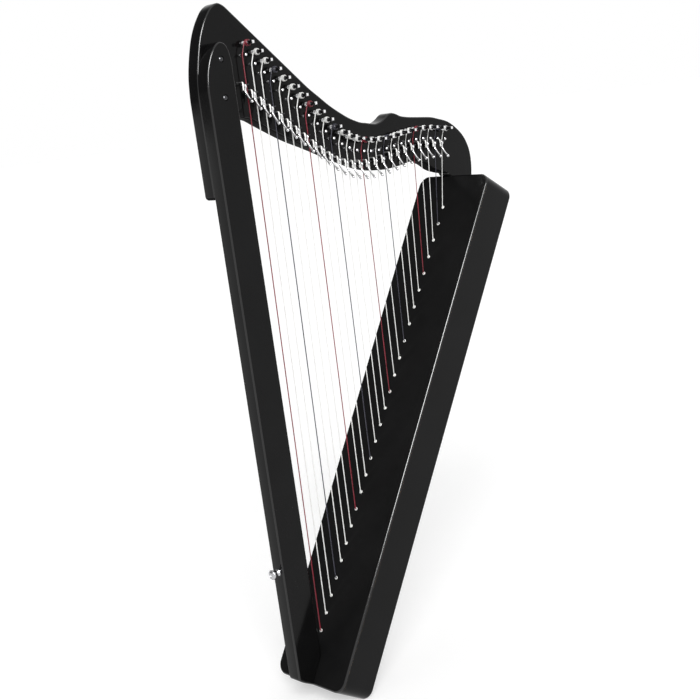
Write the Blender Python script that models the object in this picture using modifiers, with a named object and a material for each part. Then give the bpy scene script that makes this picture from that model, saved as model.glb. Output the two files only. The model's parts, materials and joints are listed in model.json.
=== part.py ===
"""Lap harp with 26 strings, a sharping lever on every string, and a flat-backed soundbox.

Z runs up the strings, X from the bass strings to the treble ones, and Y across the harp, with the
strings on the neck's -Y side. The origin is the middle of the soundbox's flat lower end. Lengths
are in metres.
"""

import math

import bmesh
import bpy
from mathutils import Matrix, Vector

MM = 0.001

# Fits between pieces
SEAT_GAP = 0.3 * MM
TURN_GAP = 0.35 * MM

# Soundbox: a shallow box with rounded corners, its board slanting away from the strings
SLANT = math.radians(32)
BOX_WIDTH = 122 * MM
BOX_DEPTH = 52 * MM
BOX_CORNER = 15 * MM
WALL = 7 * MM
BOARD_THICKNESS = 3 * MM
BACK_THICKNESS = 3 * MM
BOX_EDGE_RADIUS = 2.4 * MM
ACCESS_HOLES = 4
ACCESS_LENGTH = 92 * MM
ACCESS_WIDTH = 46 * MM
ACCESS_FIRST = 118 * MM
ACCESS_STEP = 148 * MM
BASE_BLOCK_HEIGHT = 34 * MM

# Strings
STRINGS = 26
STRAIGHT_STRINGS = 16
FIRST_EYELET = 65.5 * MM
LAST_EYELET_MARGIN = 47 * MM
BASS_STEP = 11.9 * MM
TREBLE_STEP_LOW = 12.5 * MM
TREBLE_STEP_HIGH = 13.7 * MM
BASS_STRING_RADIUS = 0.6 * MM
TREBLE_STRING_RADIUS = 0.38 * MM
STRING_HOLE_RADIUS = 1.6 * MM
RIB_WIDTH = 24 * MM
RIB_THICKNESS = 5 * MM
RIB_END_MARGIN = 22 * MM
STRING_STANDOFF = 6 * MM

# The harmonic curve: speaking length from eyelet to bridge pin, by string number
STRING_LENGTHS = [
    (1, 706 * MM),
    (4, 616 * MM),
    (8, 495.5 * MM),
    (10, 436 * MM),
    (12, 380 * MM),
    (14, 331.5 * MM),
    (16, 289.5 * MM),
    (18, 249.5 * MM),
    (20, 212.5 * MM),
    (22, 174.5 * MM),
    (24, 133 * MM),
    (26, 89 * MM),
]
BRIDGE_PIN_RADIUS = 1.2 * MM
BRIDGE_PIN_LENGTH = 11.5 * MM
BRIDGE_PIN_ROOT = 3 * MM
BRIDGE_FLANGE_RADIUS = 1.7 * MM
BRIDGE_FLANGE = 1.8 * MM
BRIDGE_PIN_SIDES = 6

# Tuning pins, each up and to the treble side of its bridge pin
PIN_ASIDE = 8.2 * MM
PIN_ABOVE = 13.2 * MM
PIN_RADIUS = 2.5 * MM
PIN_SHOWN = 19 * MM
PIN_SUNK = 14 * MM
PIN_BORE_DEPTH = 15 * MM
PIN_SQUARE = 3.7 * MM
PIN_SQUARE_LENGTH = 8 * MM
PIN_SIDES = 8
WINDING_RADIUS = 0.5 * MM
WINDING_TURNS = 2
WINDING_GAP = 0.45 * MM
WINDING_FIT = 0.1 * MM

# Sharping levers: a bent strip bracket with a pivot pin across it, and a lever that flips up
LEVER_DROP = 0.05
LEVER_ASIDE = 8.2 * MM
BRACKET_WIDTH = 2.2 * MM
BRACKET_STOCK = 1.6 * MM
BRACKET_RISE = 5.5 * MM
BRACKET_FALL = 4.2 * MM
BRACKET_ROOT = 1.2 * MM
PIVOT_RADIUS = 0.8 * MM
PIVOT_SIDES = 6
LEVER_THICKNESS = 2 * MM
LEVER_HUB_RADIUS = 2.8 * MM
LEVER_ARM_WIDTH = 1.9 * MM
LEVER_KNEE = 5 * MM
LEVER_SPLAY = (4 * MM, 12 * MM)
LEVER_TIP = (9.4 * MM, 17.4 * MM)
LEVER_KNOB_RADIUS = 1.8 * MM
CAM_ORBIT = 1.9 * MM
CAM_RADIUS = 0.75 * MM

# Pillar and neck boards
BOARD_STOCK = 19 * MM
PILLAR_WIDTH = 39 * MM
PILLAR_GAP = 16 * MM
PILLAR_TILT = math.radians(0.83)
PILLAR_TOP = 722 * MM
# The pillar's crown: inwards from each edge, and down from its top
CROWN_INNER = [(0 * MM, 26 * MM), (2 * MM, 11 * MM), (7 * MM, 2 * MM), (14 * MM, 0 * MM)]
CROWN_OUTER = [
    (20 * MM, 2.5 * MM),
    (13 * MM, 10.5 * MM),
    (5.5 * MM, 25 * MM),
    (1.5 * MM, 39 * MM),
    (0 * MM, 54 * MM),
]
PILLAR_EDGE_RADIUS = 2 * MM
PILLAR_FOOT_CORNER = 6 * MM
PILLAR_SCREWS = [(19 * MM, 5 * MM), (61.5 * MM, 3 * MM)]
SCREW_RECESS_RADIUS = 3.2 * MM
SCREW_RECESS_DEPTH = 2.6 * MM
NECK_EDGE_RADIUS = 2 * MM
TONGUE_END = 548 * MM
TONGUE_CORNER = 5 * MM

# The neck's wood above and below the bridge pins, by string number
WOOD_ABOVE = [
    (0.6, 46 * MM),
    (9, 47 * MM),
    (11, 48 * MM),
    (13, 45.5 * MM),
    (15, 39.5 * MM),
    (16, 36.5 * MM),
    (17.9, 33 * MM),
]
SHOULDER = [
    (17.9, 33 * MM),
    (18.45, 35 * MM),
    (18.8, 41.5 * MM),
    (19.2, 43.5 * MM),
    (19.7, 42.5 * MM),
    (20.35, 38.5 * MM),
    (21.15, 33 * MM),
    (22.2, 29.5 * MM),
    (23.3, 28.5 * MM),
    (24.4, 28.5 * MM),
    (25.3, 29 * MM),
]
WOOD_BELOW = [
    (1.5, 68 * MM),
    (5.7, 49 * MM),
    (8.8, 31 * MM),
    (10.3, 23.5 * MM),
    (12.3, 18 * MM),
    (13.6, 17 * MM),
    (15.3, 20.5 * MM),
    (17.6, 26 * MM),
    (20, 29 * MM),
    (22.1, 27.5 * MM),
]
# The neck's front lobe: inwards from the pillar's front edge, and up from string 1's bridge pin
LOBE = [
    (0 * MM, -48 * MM),
    (2 * MM, -22 * MM),
    (8 * MM, 5 * MM),
    (17.5 * MM, 31 * MM),
    (26 * MM, 45 * MM),
    (37.5 * MM, 57 * MM),
    (46 * MM, 60 * MM),
    (52.5 * MM, 57.6 * MM),
]
# The neck's foot on the soundbox's upper end: its front from the board's edge, its back from
# the heel, which stops short of the back panel
FOOT_FRONT = [
    (-1 * MM, 3 * MM),
    (-13 * MM, 6 * MM),
    (-27 * MM, 11 * MM),
    (-40 * MM, 19.5 * MM),
    (-52 * MM, 25 * MM),
]
FOOT_BACK = [
    (-48.5 * MM, 101.5 * MM),
    (-32.5 * MM, 96.5 * MM),
    (-17.5 * MM, 87 * MM),
    (-4 * MM, 73.5 * MM),
    (4.5 * MM, 55 * MM),
    (6 * MM, 35 * MM),
    (3.5 * MM, 17 * MM),
]
TOE_SETBACK = 1 * MM
HEEL_SETBACK = 3 * MM
TONGUE_INSET = 1 * MM
TONGUE_FILLET = 12 * MM
TONGUE_RISE = 6 * MM

# Strap button on the pillar's front edge
BUTTON_HEIGHT = 98 * MM
BUTTON_RADIUS = 6.2 * MM
BUTTON_WAIST = 3 * MM
BUTTON_BASE = 4.6 * MM
BUTTON_LENGTH = 11.5 * MM
BUTTON_SCREW_RADIUS = 1.6 * MM
BUTTON_SCREW_LENGTH = 14 * MM

# Directions and planes worked out from the sizes above
ALONG = Vector((math.sin(SLANT), 0, math.cos(SLANT)))
OUTWARD = Vector((-math.cos(SLANT), 0, math.sin(SLANT)))
NECK_FACE = BOARD_STOCK / 2
STRING_PLANE = NECK_FACE - STRING_STANDOFF
STRING_ROW = (STRAIGHT_STRINGS - 1) * BASS_STEP + (STRINGS - STRAIGHT_STRINGS) * TREBLE_STEP_LOW
BOX_LENGTH = FIRST_EYELET + STRING_ROW / math.sin(SLANT) + LAST_EYELET_MARGIN
PIVOT_OUT = STRING_STANDOFF + BASS_STRING_RADIUS + SEAT_GAP + CAM_RADIUS + CAM_ORBIT
WINDING_STEPS = PIN_SIDES


def clear_scene():
    for obj in list(bpy.data.objects):
        bpy.data.objects.remove(obj, do_unlink=True)


def collection(name):
    made = bpy.data.collections.new(name)
    bpy.context.scene.collection.children.link(made)
    return made


def material(name, colour, roughness, metallic=0.0):
    made = bpy.data.materials.new(name)
    made.use_nodes = True
    shader = made.node_tree.nodes["Principled BSDF"]
    shader.inputs["Base Color"].default_value = (*colour, 1)
    shader.inputs["Roughness"].default_value = roughness
    shader.inputs["Metallic"].default_value = metallic
    return made


clear_scene()
PARTS = collection("lap_harp")
CUTTERS = collection("cutters")


def add_part(name, mesh, finish, angle=35):
    """One sub-part in the harp's collection, shaded smooth between its sharp edges."""
    obj = bpy.data.objects.new(name, mesh)
    PARTS.objects.link(obj)
    obj.data.materials.clear()
    obj.data.materials.append(finish)
    obj.data.shade_smooth()
    obj.data.set_sharp_from_angle(angle=math.radians(angle))
    return obj


def add_cutter(name, mesh):
    obj = bpy.data.objects.new(name, mesh)
    CUTTERS.objects.link(obj)
    obj.display_type = "WIRE"
    obj.hide_render = True
    return obj


def combine(target, other, operation):
    cut = target.modifiers.new(f"{operation.lower()}_{other.name}", "BOOLEAN")
    cut.operation = operation
    cut.object = other
    # A join of many shells at once is exact only when each shell is settled by itself first
    cut.use_self = operation == "UNION"


def realised(obj):
    """The object's finished shape as one welded mesh, with the object itself removed."""
    bpy.context.view_layer.update()
    graph = bpy.context.evaluated_depsgraph_get()
    mesh = bpy.data.meshes.new_from_object(obj.evaluated_get(graph))
    work = bmesh.new()
    work.from_mesh(mesh)
    bmesh.ops.remove_doubles(work, verts=work.verts, dist=0.002 * MM)
    work.to_mesh(mesh)
    work.free()
    bpy.data.objects.remove(obj)
    return mesh


def plate(name, outlines, thickness):
    """A flat piece in XY, centred on Z = 0: the first outline, less the others."""
    curve = bpy.data.curves.new(name, "CURVE")
    curve.dimensions = "2D"
    curve.fill_mode = "BOTH"
    curve.extrude = thickness / 2
    for outline in outlines:
        spline = curve.splines.new("POLY")
        spline.points.add(len(outline) - 1)
        for point, (x, y) in zip(spline.points, outline):
            point.co = (x, y, 0, 1)
        spline.use_cyclic_u = True
    obj = bpy.data.objects.new(name, curve)
    CUTTERS.objects.link(obj)
    return realised(obj)


def upright(mesh, y):
    """Turns a plate from XY into the plane of the strings, centred on the given Y."""
    mesh.transform(Matrix.Translation((0, y, 0)) @ Matrix.Rotation(math.radians(90), 4, "X"))
    return mesh


def tube(name, points, radius, resolution=2):
    curve = bpy.data.curves.new(name, "CURVE")
    curve.dimensions = "3D"
    curve.bevel_depth = radius
    curve.bevel_resolution = resolution
    curve.use_fill_caps = True
    spline = curve.splines.new("POLY")
    spline.points.add(len(points) - 1)
    for point, place in zip(spline.points, points):
        point.co = (*place, 1)
    obj = bpy.data.objects.new(name, curve)
    CUTTERS.objects.link(obj)
    return realised(obj)


def rod(radius, start, end, sides):
    """A straight round rod between two points."""
    axis = end - start
    work = bmesh.new()
    bmesh.ops.create_cone(
        work, cap_ends=True, segments=sides, radius1=radius, radius2=radius, depth=axis.length
    )
    turn = axis.to_track_quat("Z", "Y").to_matrix().to_4x4()
    bmesh.ops.transform(work, verts=work.verts, matrix=Matrix.Translation((start + end) / 2) @ turn)
    mesh = bpy.data.meshes.new("rod")
    work.to_mesh(mesh)
    work.free()
    return mesh


def block(low, high):
    """A box between two corners."""
    size = high - low
    work = bmesh.new()
    bmesh.ops.create_cube(work, size=1)
    stretch = Matrix.Diagonal((*size, 1))
    bmesh.ops.transform(
        work, verts=work.verts, matrix=Matrix.Translation((low + high) / 2) @ stretch
    )
    mesh = bpy.data.meshes.new("block")
    work.to_mesh(mesh)
    work.free()
    return mesh


def gathered(name, placed):
    """Copies of meshes, each moved to its place, as one mesh of separate shells."""
    work = bmesh.new()
    for mesh, place in placed:
        piece = mesh.copy()
        piece.transform(Matrix.Translation(place))
        work.from_mesh(piece)
    mesh = bpy.data.meshes.new(name)
    work.to_mesh(mesh)
    work.free()
    return mesh


def rounded_edges(mesh, radius, chosen, segments=2):
    """Rounds the edges that the test picks out by their two ends."""
    work = bmesh.new()
    work.from_mesh(mesh)
    bmesh.ops.dissolve_limit(work, angle_limit=math.radians(0.2), verts=[], edges=work.edges)
    edges = [e for e in work.edges if chosen(e.verts[0].co) and chosen(e.verts[1].co)]
    sharp = [e for e in edges if e.calc_face_angle(0) > math.radians(60)]
    bmesh.ops.bevel(
        work, geom=sharp, offset=radius, segments=segments, profile=0.5, affect="EDGES"
    )
    work.to_mesh(mesh)
    work.free()
    return mesh


def rounded_rectangle(low, high, radius, steps=5):
    """Corner arcs of a rectangle between two (x, y) corners."""
    corners = [
        (high[0] - radius, high[1] - radius, 0),
        (low[0] + radius, high[1] - radius, 90),
        (low[0] + radius, low[1] + radius, 180),
        (high[0] - radius, low[1] + radius, 270),
    ]
    points = []
    for x, y, start in corners:
        for step in range(steps + 1):
            angle = math.radians(start + 90 * step / steps)
            points.append((x + radius * math.cos(angle), y + radius * math.sin(angle)))
    return points


def circle(x, y, radius, sides, start=0.0):
    turn = 2 * math.pi / sides
    return [
        (x + radius * math.cos(start + turn * k), y + radius * math.sin(start + turn * k))
        for k in range(sides)
    ]


def through(knots, steps=3):
    """Points of a smooth curve through the knots, ends included."""
    knots = [Vector(knot) for knot in knots]
    runs = [b - a for a, b in zip(knots, knots[1:])]
    headings = [runs[0].normalized()]
    for into, out in zip(runs, runs[1:]):
        turn = into.normalized() * out.length + out.normalized() * into.length
        headings.append(turn.normalized())
    headings.append(runs[-1].normalized())
    points = []
    for k, run in enumerate(runs):
        a, b = knots[k], knots[k + 1]
        leave, arrive = headings[k] * run.length, headings[k + 1] * run.length
        for step in range(steps):
            t = step / steps
            near = a * (2 * t**3 - 3 * t**2 + 1) + leave * (t**3 - 2 * t**2 + t)
            far = b * (3 * t**2 - 2 * t**3) + arrive * (t**3 - t**2)
            points.append(tuple(near + far))
    points.append(tuple(knots[-1]))
    return points


def height_on(line, x):
    """Height of a smooth line at x, going on straight past its ends."""
    if x <= line[0][0]:
        (xa, a), (xb, b) = line[0], line[1]
        return a + (b - a) * (x - xa) / (xb - xa)
    if x >= line[-1][0]:
        (xa, a), (xb, b) = line[-2], line[-1]
        return b + (b - a) * (x - xb) / (xb - xa)
    k = max(i for i in range(len(line) - 1) if line[i][0] <= x)
    (xa, a), (xb, b) = line[k], line[k + 1]
    (xp, p), (xn, n) = line[max(k - 1, 0)], line[min(k + 2, len(line) - 1)]
    slope_a = (b - p) / (xb - xp)
    slope_b = (n - a) / (xn - xa)
    t = (x - xa) / (xb - xa)
    width = xb - xa
    return (
        (2 * t**3 - 3 * t**2 + 1) * a
        + (t**3 - 2 * t**2 + t) * width * slope_a
        + (3 * t**2 - 2 * t**3) * b
        + (t**3 - t**2) * width * slope_b
    )


def spread(low, high, count):
    return [low + (high - low) * k / (count - 1) for k in range(count)]


def on_box(distance, height=0.0, side=0.0):
    """A point of the soundbox: up from its lower end, and out from the board's face."""
    return ALONG * distance + OUTWARD * (BOX_DEPTH / 2 + height) + Vector((0, side, 0))


FIRST = on_box(FIRST_EYELET)


def low_offset(index):
    """Distance of a string from string 1 at the soundboard, square to the strings."""
    straight = min(index, STRAIGHT_STRINGS - 1)
    return straight * BASS_STEP + (index - straight) * TREBLE_STEP_LOW


def high_offset(index):
    straight = min(index, STRAIGHT_STRINGS - 1)
    return straight * BASS_STEP + (index - straight) * TREBLE_STEP_HIGH


def eyelet(index):
    return on_box(FIRST_EYELET + low_offset(index) / math.sin(SLANT), side=STRING_PLANE)


def bridge(index):
    """Where the string bends round its bridge pin."""
    foot = eyelet(index)
    length = height_on(STRING_LENGTHS, index + 1)
    return Vector((FIRST.x + high_offset(index), STRING_PLANE, foot.z + length))


def on_neck(number, rise):
    """A point of the neck's outline as (x, z): a height above the bridge pin of a string number."""
    pin = bridge(number - 1)
    return (pin.x, pin.z + rise)


def string_radius(index):
    share = index / (STRINGS - 1)
    return BASS_STRING_RADIUS + (TREBLE_STRING_RADIUS - BASS_STRING_RADIUS) * share


def lever_pivot(index):
    """A lever bears on its string a twentieth of the way down from the bridge pin."""
    top = bridge(index)
    length = (top - eyelet(index)).length
    return Vector((top.x - LEVER_ASIDE, NECK_FACE - PIVOT_OUT, top.z - LEVER_DROP * length))


def pillar_edge(height, outer):
    """X of the pillar's inner or outer edge at a height above the first eyelet."""
    inner = FIRST.x - PILLAR_GAP - math.tan(PILLAR_TILT) * height
    return inner - (PILLAR_WIDTH if outer else 0)


def line_cross(a, along_a, b, along_b):
    """Where two lines in the plane of the strings meet, as (x, z)."""
    cross = along_a[0] * along_b[1] - along_a[1] * along_b[0]
    t = ((b[0] - a[0]) * along_b[1] - (b[1] - a[1]) * along_b[0]) / cross
    return (a[0] + along_a[0] * t, a[1] + along_a[1] * t)


def corner_arc(corner, before, after, radius, steps=4):
    """Rounds one corner of an outline between its neighbouring points."""
    corner, before, after = Vector(corner), Vector(before), Vector(after)
    one, two = (before - corner).normalized(), (after - corner).normalized()
    half = one.angle(two) / 2
    start, end = corner + one * radius / math.tan(half), corner + two * radius / math.tan(half)
    centre = corner + (one + two).normalized() * radius / math.sin(half)
    points = []
    for step in range(steps + 1):
        way = (start - centre).lerp(end - centre, step / steps).normalized()
        points.append(tuple(centre + way * radius))
    return points


LACQUER = material("black_lacquer", (0.012, 0.012, 0.013), 0.12)
BOARD_LACQUER = material("soundboard_lacquer", (0.008, 0.008, 0.009), 0.1)
CHROME = material("chrome", (0.8, 0.8, 0.82), 0.12, 1.0)
NYLON = material("nylon_string", (0.85, 0.85, 0.83), 0.3)
BARE_WOOD = material("bare_wood", (0.45, 0.3, 0.17), 0.6)


def make_soundbox():
    frame = bpy.data.objects.new("soundbox_frame", None)
    PARTS.objects.link(frame)
    frame.rotation_euler = (0, SLANT - math.pi / 2, 0)
    top = BOX_DEPTH / 2
    half = BOX_WIDTH / 2
    outer = rounded_rectangle((0, -half), (BOX_LENGTH, half), BOX_CORNER)
    inner = rounded_rectangle(
        (WALL, WALL - half), (BOX_LENGTH - WALL, half - WALL), BOX_CORNER - WALL, 4
    )

    board = plate("soundboard", [outer], BOARD_THICKNESS)
    board.transform(Matrix.Translation((0, 0, top - BOARD_THICKNESS / 2)))
    rounded_edges(board, BOX_EDGE_RADIUS, lambda co: co.z > top - MM / 10)
    board = add_part("soundboard", board, BOARD_LACQUER)
    board.parent = frame
    drill = rod(
        STRING_HOLE_RADIUS, Vector((0, 0, -2 * BOARD_THICKNESS)), Vector((0, 0, BOARD_THICKNESS)), 6
    )
    places = []
    for index in range(STRINGS):
        distance = FIRST_EYELET + low_offset(index) / math.sin(SLANT)
        places.append((drill, (distance, STRING_PLANE, top)))
    holes = add_cutter("string_holes", gathered("string_holes", places))
    holes.parent = frame
    combine(board, holes, "DIFFERENCE")

    back = top - BOX_DEPTH
    depth = BOX_DEPTH - BOARD_THICKNESS - BACK_THICKNESS - 2 * SEAT_GAP
    rim = plate("soundbox_rim", [outer, inner[::-1]], depth)
    rim.transform(Matrix.Translation((0, 0, back + BACK_THICKNESS + SEAT_GAP + depth / 2)))
    add_part("soundbox_rim", rim, LACQUER).parent = frame

    slots = []
    for k in range(ACCESS_HOLES):
        middle = ACCESS_FIRST + k * ACCESS_STEP
        low = (middle - ACCESS_LENGTH / 2, -ACCESS_WIDTH / 2)
        high = (middle + ACCESS_LENGTH / 2, ACCESS_WIDTH / 2)
        slots.append(rounded_rectangle(low, high, ACCESS_WIDTH / 2 - MM)[::-1])
    panel = plate("back_panel", [outer, *slots], BACK_THICKNESS)
    panel.transform(Matrix.Translation((0, 0, back + BACK_THICKNESS / 2)))
    rounded_edges(
        panel,
        BOX_EDGE_RADIUS,
        lambda co: co.z < back + MM / 10 and on_outline(co, half),
    )
    add_part("back_panel", panel, LACQUER).parent = frame

    low = Vector((WALL + SEAT_GAP, WALL + SEAT_GAP - half, back + BACK_THICKNESS + SEAT_GAP))
    high = Vector((low.x + BASE_BLOCK_HEIGHT, -low.y, top - BOARD_THICKNESS - SEAT_GAP))
    solid = block(low, high)
    rounded_edges(solid, BOX_CORNER - WALL, lambda co: co.x < low.x + MM / 10 and abs(co.y) > 0, 3)
    add_part("base_block", solid, BARE_WOOD).parent = frame
    return frame


def on_outline(co, half):
    """Whether a point lies on the box's outline rather than on one of the access holes."""
    clear = ACCESS_WIDTH / 2 + MM
    return abs(co.y) > clear or co.x < BOX_CORNER or co.x > BOX_LENGTH - BOX_CORNER


def make_strings(frame):
    """The 26 strings on the hardwood rib that anchors them under the soundboard."""
    under = -BOARD_THICKNESS - SEAT_GAP
    far = FIRST_EYELET + low_offset(STRINGS - 1) / math.sin(SLANT)
    low = Vector((FIRST_EYELET - RIB_END_MARGIN, STRING_PLANE - RIB_WIDTH / 2, 0))
    high = Vector((far + RIB_END_MARGIN, STRING_PLANE + RIB_WIDTH / 2, 0))
    low.z = BOX_DEPTH / 2 + under - RIB_THICKNESS
    high.z = BOX_DEPTH / 2 + under
    rib = add_part("strings_on_rib", block(low, high), NYLON)
    rib.parent = frame
    into_frame = Matrix.Rotation(SLANT - math.pi / 2, 4, "Y").inverted()
    runs = []
    for index in range(STRINGS):
        radius = string_radius(index)
        foot = on_box(
            FIRST_EYELET + low_offset(index) / math.sin(SLANT),
            under - RIB_THICKNESS / 2,
            STRING_PLANE,
        )
        collar = eyelet(index) + OUTWARD * radius * 2
        top = bridge(index)
        aim = wound_start() + Vector((top.x + PIN_ASIDE, 0, top.z + PIN_ABOVE))
        aim.y = STRING_PLANE
        swept = coil_radius() + WINDING_RADIUS + SEAT_GAP
        short = math.sqrt(swept**2 - (coil_radius() - radius) ** 2)
        end = aim - (aim - top).normalized() * short
        run = tube("string_run", [foot, collar, top, end], radius, 2)
        run.transform(into_frame)
        runs.append((run, (0, 0, 0)))
    strings = add_cutter("string_runs", gathered("string_runs", runs))
    strings.parent = frame
    combine(rib, strings, "UNION")


def wound_angle():
    """The angle round a tuning pin at which the string from its bridge pin first touches it."""
    reach = math.hypot(PIN_ASIDE, PIN_ABOVE)
    return math.atan2(-PIN_ABOVE, -PIN_ASIDE) % (2 * math.pi) - math.acos(coil_radius() / reach)


def coil_radius():
    """Radius of the winding's corners, its sides lying flat along the pin's."""
    return PIN_RADIUS + (WINDING_RADIUS + WINDING_FIT) / math.cos(math.pi / PIN_SIDES)


def wound_start():
    angle = wound_angle()
    return Vector((coil_radius() * math.cos(angle), 0, coil_radius() * math.sin(angle)))


def make_tuning_pins():
    """Threaded pins with a square end for the key, each with its string wound on."""
    first = wound_angle()
    bottom, top = Vector((0, PIN_SUNK, 0)), Vector((0, PIN_SQUARE_LENGTH - PIN_SHOWN, 0))
    stem = plate("pin_stem", [circle(0, 0, PIN_RADIUS, PIN_SIDES, first)], bottom.y - top.y)
    pattern = add_cutter("pin_pattern", upright(stem, (bottom.y + top.y) / 2))
    corner = Vector((PIN_SQUARE / 2, 0, PIN_SQUARE / 2))
    key = block(-corner - Vector((0, PIN_SHOWN, 0)), corner + top + Vector((0, MM, 0)))
    combine(pattern, add_cutter("pin_square", key), "UNION")

    pitch = 2 * WINDING_RADIUS + WINDING_GAP
    route = []
    for step in range(WINDING_TURNS * WINDING_STEPS + 1):
        angle = first - 2 * math.pi * step / WINDING_STEPS
        out = STRING_STANDOFF + pitch * step / WINDING_STEPS
        route.append(
            Vector((coil_radius() * math.cos(angle), -out, coil_radius() * math.sin(angle)))
        )
    gap = min(
        (route[i] - route[j]).length
        for i in range(len(route))
        for j in range(i + WINDING_STEPS // 2, len(route))
    )
    print(f"winding: least gap to itself {(gap - 2 * WINDING_RADIUS) / MM:.2f} mm")
    end = Vector((0.4 * route[-1].x, route[-1].y, 0.4 * route[-1].z))
    coil = tube("pin_winding", [*route, end], WINDING_RADIUS, 0)
    combine(pattern, add_cutter("pin_winding", coil), "UNION")
    shape = realised(pattern)
    for index in range(STRINGS):
        top = bridge(index)
        pin = add_part(f"tuning_pin_{index + 1:02d}", shape, CHROME)
        pin.location = (top.x + PIN_ASIDE, NECK_FACE, top.z + PIN_ABOVE)


def make_levers():
    """Each lever is a flat forging: a hub, a cranked arm with a knob, and a cam across the string."""
    arm = LEVER_ARM_WIDTH / 2
    (splay_out, splay_down), (tip_out, tip_down) = LEVER_SPLAY, LEVER_TIP
    hub = []
    for k in range(7):
        angle = math.radians(-35 + 250 * k / 6)
        hub.append((LEVER_HUB_RADIUS * math.cos(angle), LEVER_HUB_RADIUS * math.sin(angle)))
    left_side = [(-arm, -LEVER_KNEE), (splay_out - arm, -splay_down - 0.4 * arm)]
    right_side = [(splay_out + arm, -splay_down + 0.6 * arm), (arm, -LEVER_KNEE + 0.6 * arm)]
    knob = []
    for k in range(6):
        angle = math.radians(-150 + 240 * k / 5)
        knob.append(
            (
                tip_out + LEVER_KNOB_RADIUS * math.cos(angle),
                -tip_down + LEVER_KNOB_RADIUS * math.sin(angle),
            )
        )
    bore = circle(0, 0, PIVOT_RADIUS + TURN_GAP, PIVOT_SIDES)
    outline = [*hub, *left_side, *knob, *right_side]
    forging = plate("lever_pattern", [outline, bore[::-1]], LEVER_THICKNESS)
    # The plate's x runs out from the neck and its y up, and its thickness along the row of strings
    forging.transform(Matrix(((0, 0, 1, 0), (-1, 0, 0, 0), (0, 1, 0, 0), (0, 0, 0, 1))))
    left = BRACKET_WIDTH / 2 + TURN_GAP
    forging.transform(Matrix.Translation((left + LEVER_THICKNESS / 2, 0, 0)))
    pattern = add_cutter("lever_pattern", forging)
    start = Vector((left + LEVER_THICKNESS / 2, 0, CAM_ORBIT))
    end = Vector((LEVER_ASIDE + CAM_RADIUS, 0, CAM_ORBIT))
    combine(pattern, add_cutter("lever_cam", rod(CAM_RADIUS, start, end, 6)), "UNION")
    shape = realised(pattern)
    for index in range(STRINGS):
        lever = add_part(f"lever_{index + 1:02d}", shape, CHROME)
        lever.location = lever_pivot(index)


def lever_bracket():
    """A strip bent down in front of the string, with the lever's pivot pin riveted through it."""
    out = PIVOT_OUT + BRACKET_STOCK / 2
    side = [
        (-BRACKET_ROOT, BRACKET_RISE),
        (-BRACKET_ROOT, BRACKET_RISE - BRACKET_STOCK),
        (out - BRACKET_STOCK, BRACKET_RISE - BRACKET_STOCK),
        (out - BRACKET_STOCK, -BRACKET_FALL),
        (out, -BRACKET_FALL),
        (out, BRACKET_RISE - BRACKET_STOCK / 2),
        (out - BRACKET_STOCK / 2, BRACKET_RISE),
    ]
    strip = plate("lever_bracket", [side], BRACKET_WIDTH)
    strip.transform(Matrix(((0, 0, 1, 0), (-1, 0, 0, PIVOT_OUT), (0, 1, 0, 0), (0, 0, 0, 1))))
    bracket = add_cutter("bracket_pattern", strip)
    reach = BRACKET_WIDTH / 2 + 2 * TURN_GAP + LEVER_THICKNESS
    pin = rod(PIVOT_RADIUS, Vector((0, 0, 0)), Vector((reach, 0, 0)), PIVOT_SIDES)
    combine(bracket, add_cutter("bracket_pivot", pin), "UNION")
    return realised(bracket)


def bridge_pin():
    """A pin with a flange at its root and a head, which keep the string on its waist."""
    stages = [
        (BRIDGE_FLANGE_RADIUS, BRIDGE_PIN_ROOT, -BRIDGE_FLANGE),
        (BRIDGE_PIN_RADIUS, -BRIDGE_FLANGE, BRIDGE_FLANGE - BRIDGE_PIN_LENGTH),
        (BRIDGE_FLANGE_RADIUS, BRIDGE_FLANGE - BRIDGE_PIN_LENGTH, -BRIDGE_PIN_LENGTH),
    ]
    outline = []
    for radius, start, end in stages:
        outline += [(radius, start), (radius, end)]
    outline = [(0, stages[0][1]), *outline, (0, stages[-1][2])]
    work = bmesh.new()
    chain = [work.verts.new((x, y, 0)) for x, y in outline]
    lines = [work.edges.new(pair) for pair in zip(chain, chain[1:])]
    bmesh.ops.spin(
        work,
        geom=[*chain, *lines],
        cent=(0, 0, 0),
        axis=(0, 1, 0),
        angle=2 * math.pi,
        steps=BRIDGE_PIN_SIDES,
        use_merge=True,
    )
    bmesh.ops.remove_doubles(work, verts=work.verts, dist=0.002 * MM)
    bmesh.ops.recalc_face_normals(work, faces=work.faces)
    mesh = bpy.data.meshes.new("bridge_pin")
    work.to_mesh(mesh)
    work.free()
    return mesh


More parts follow.
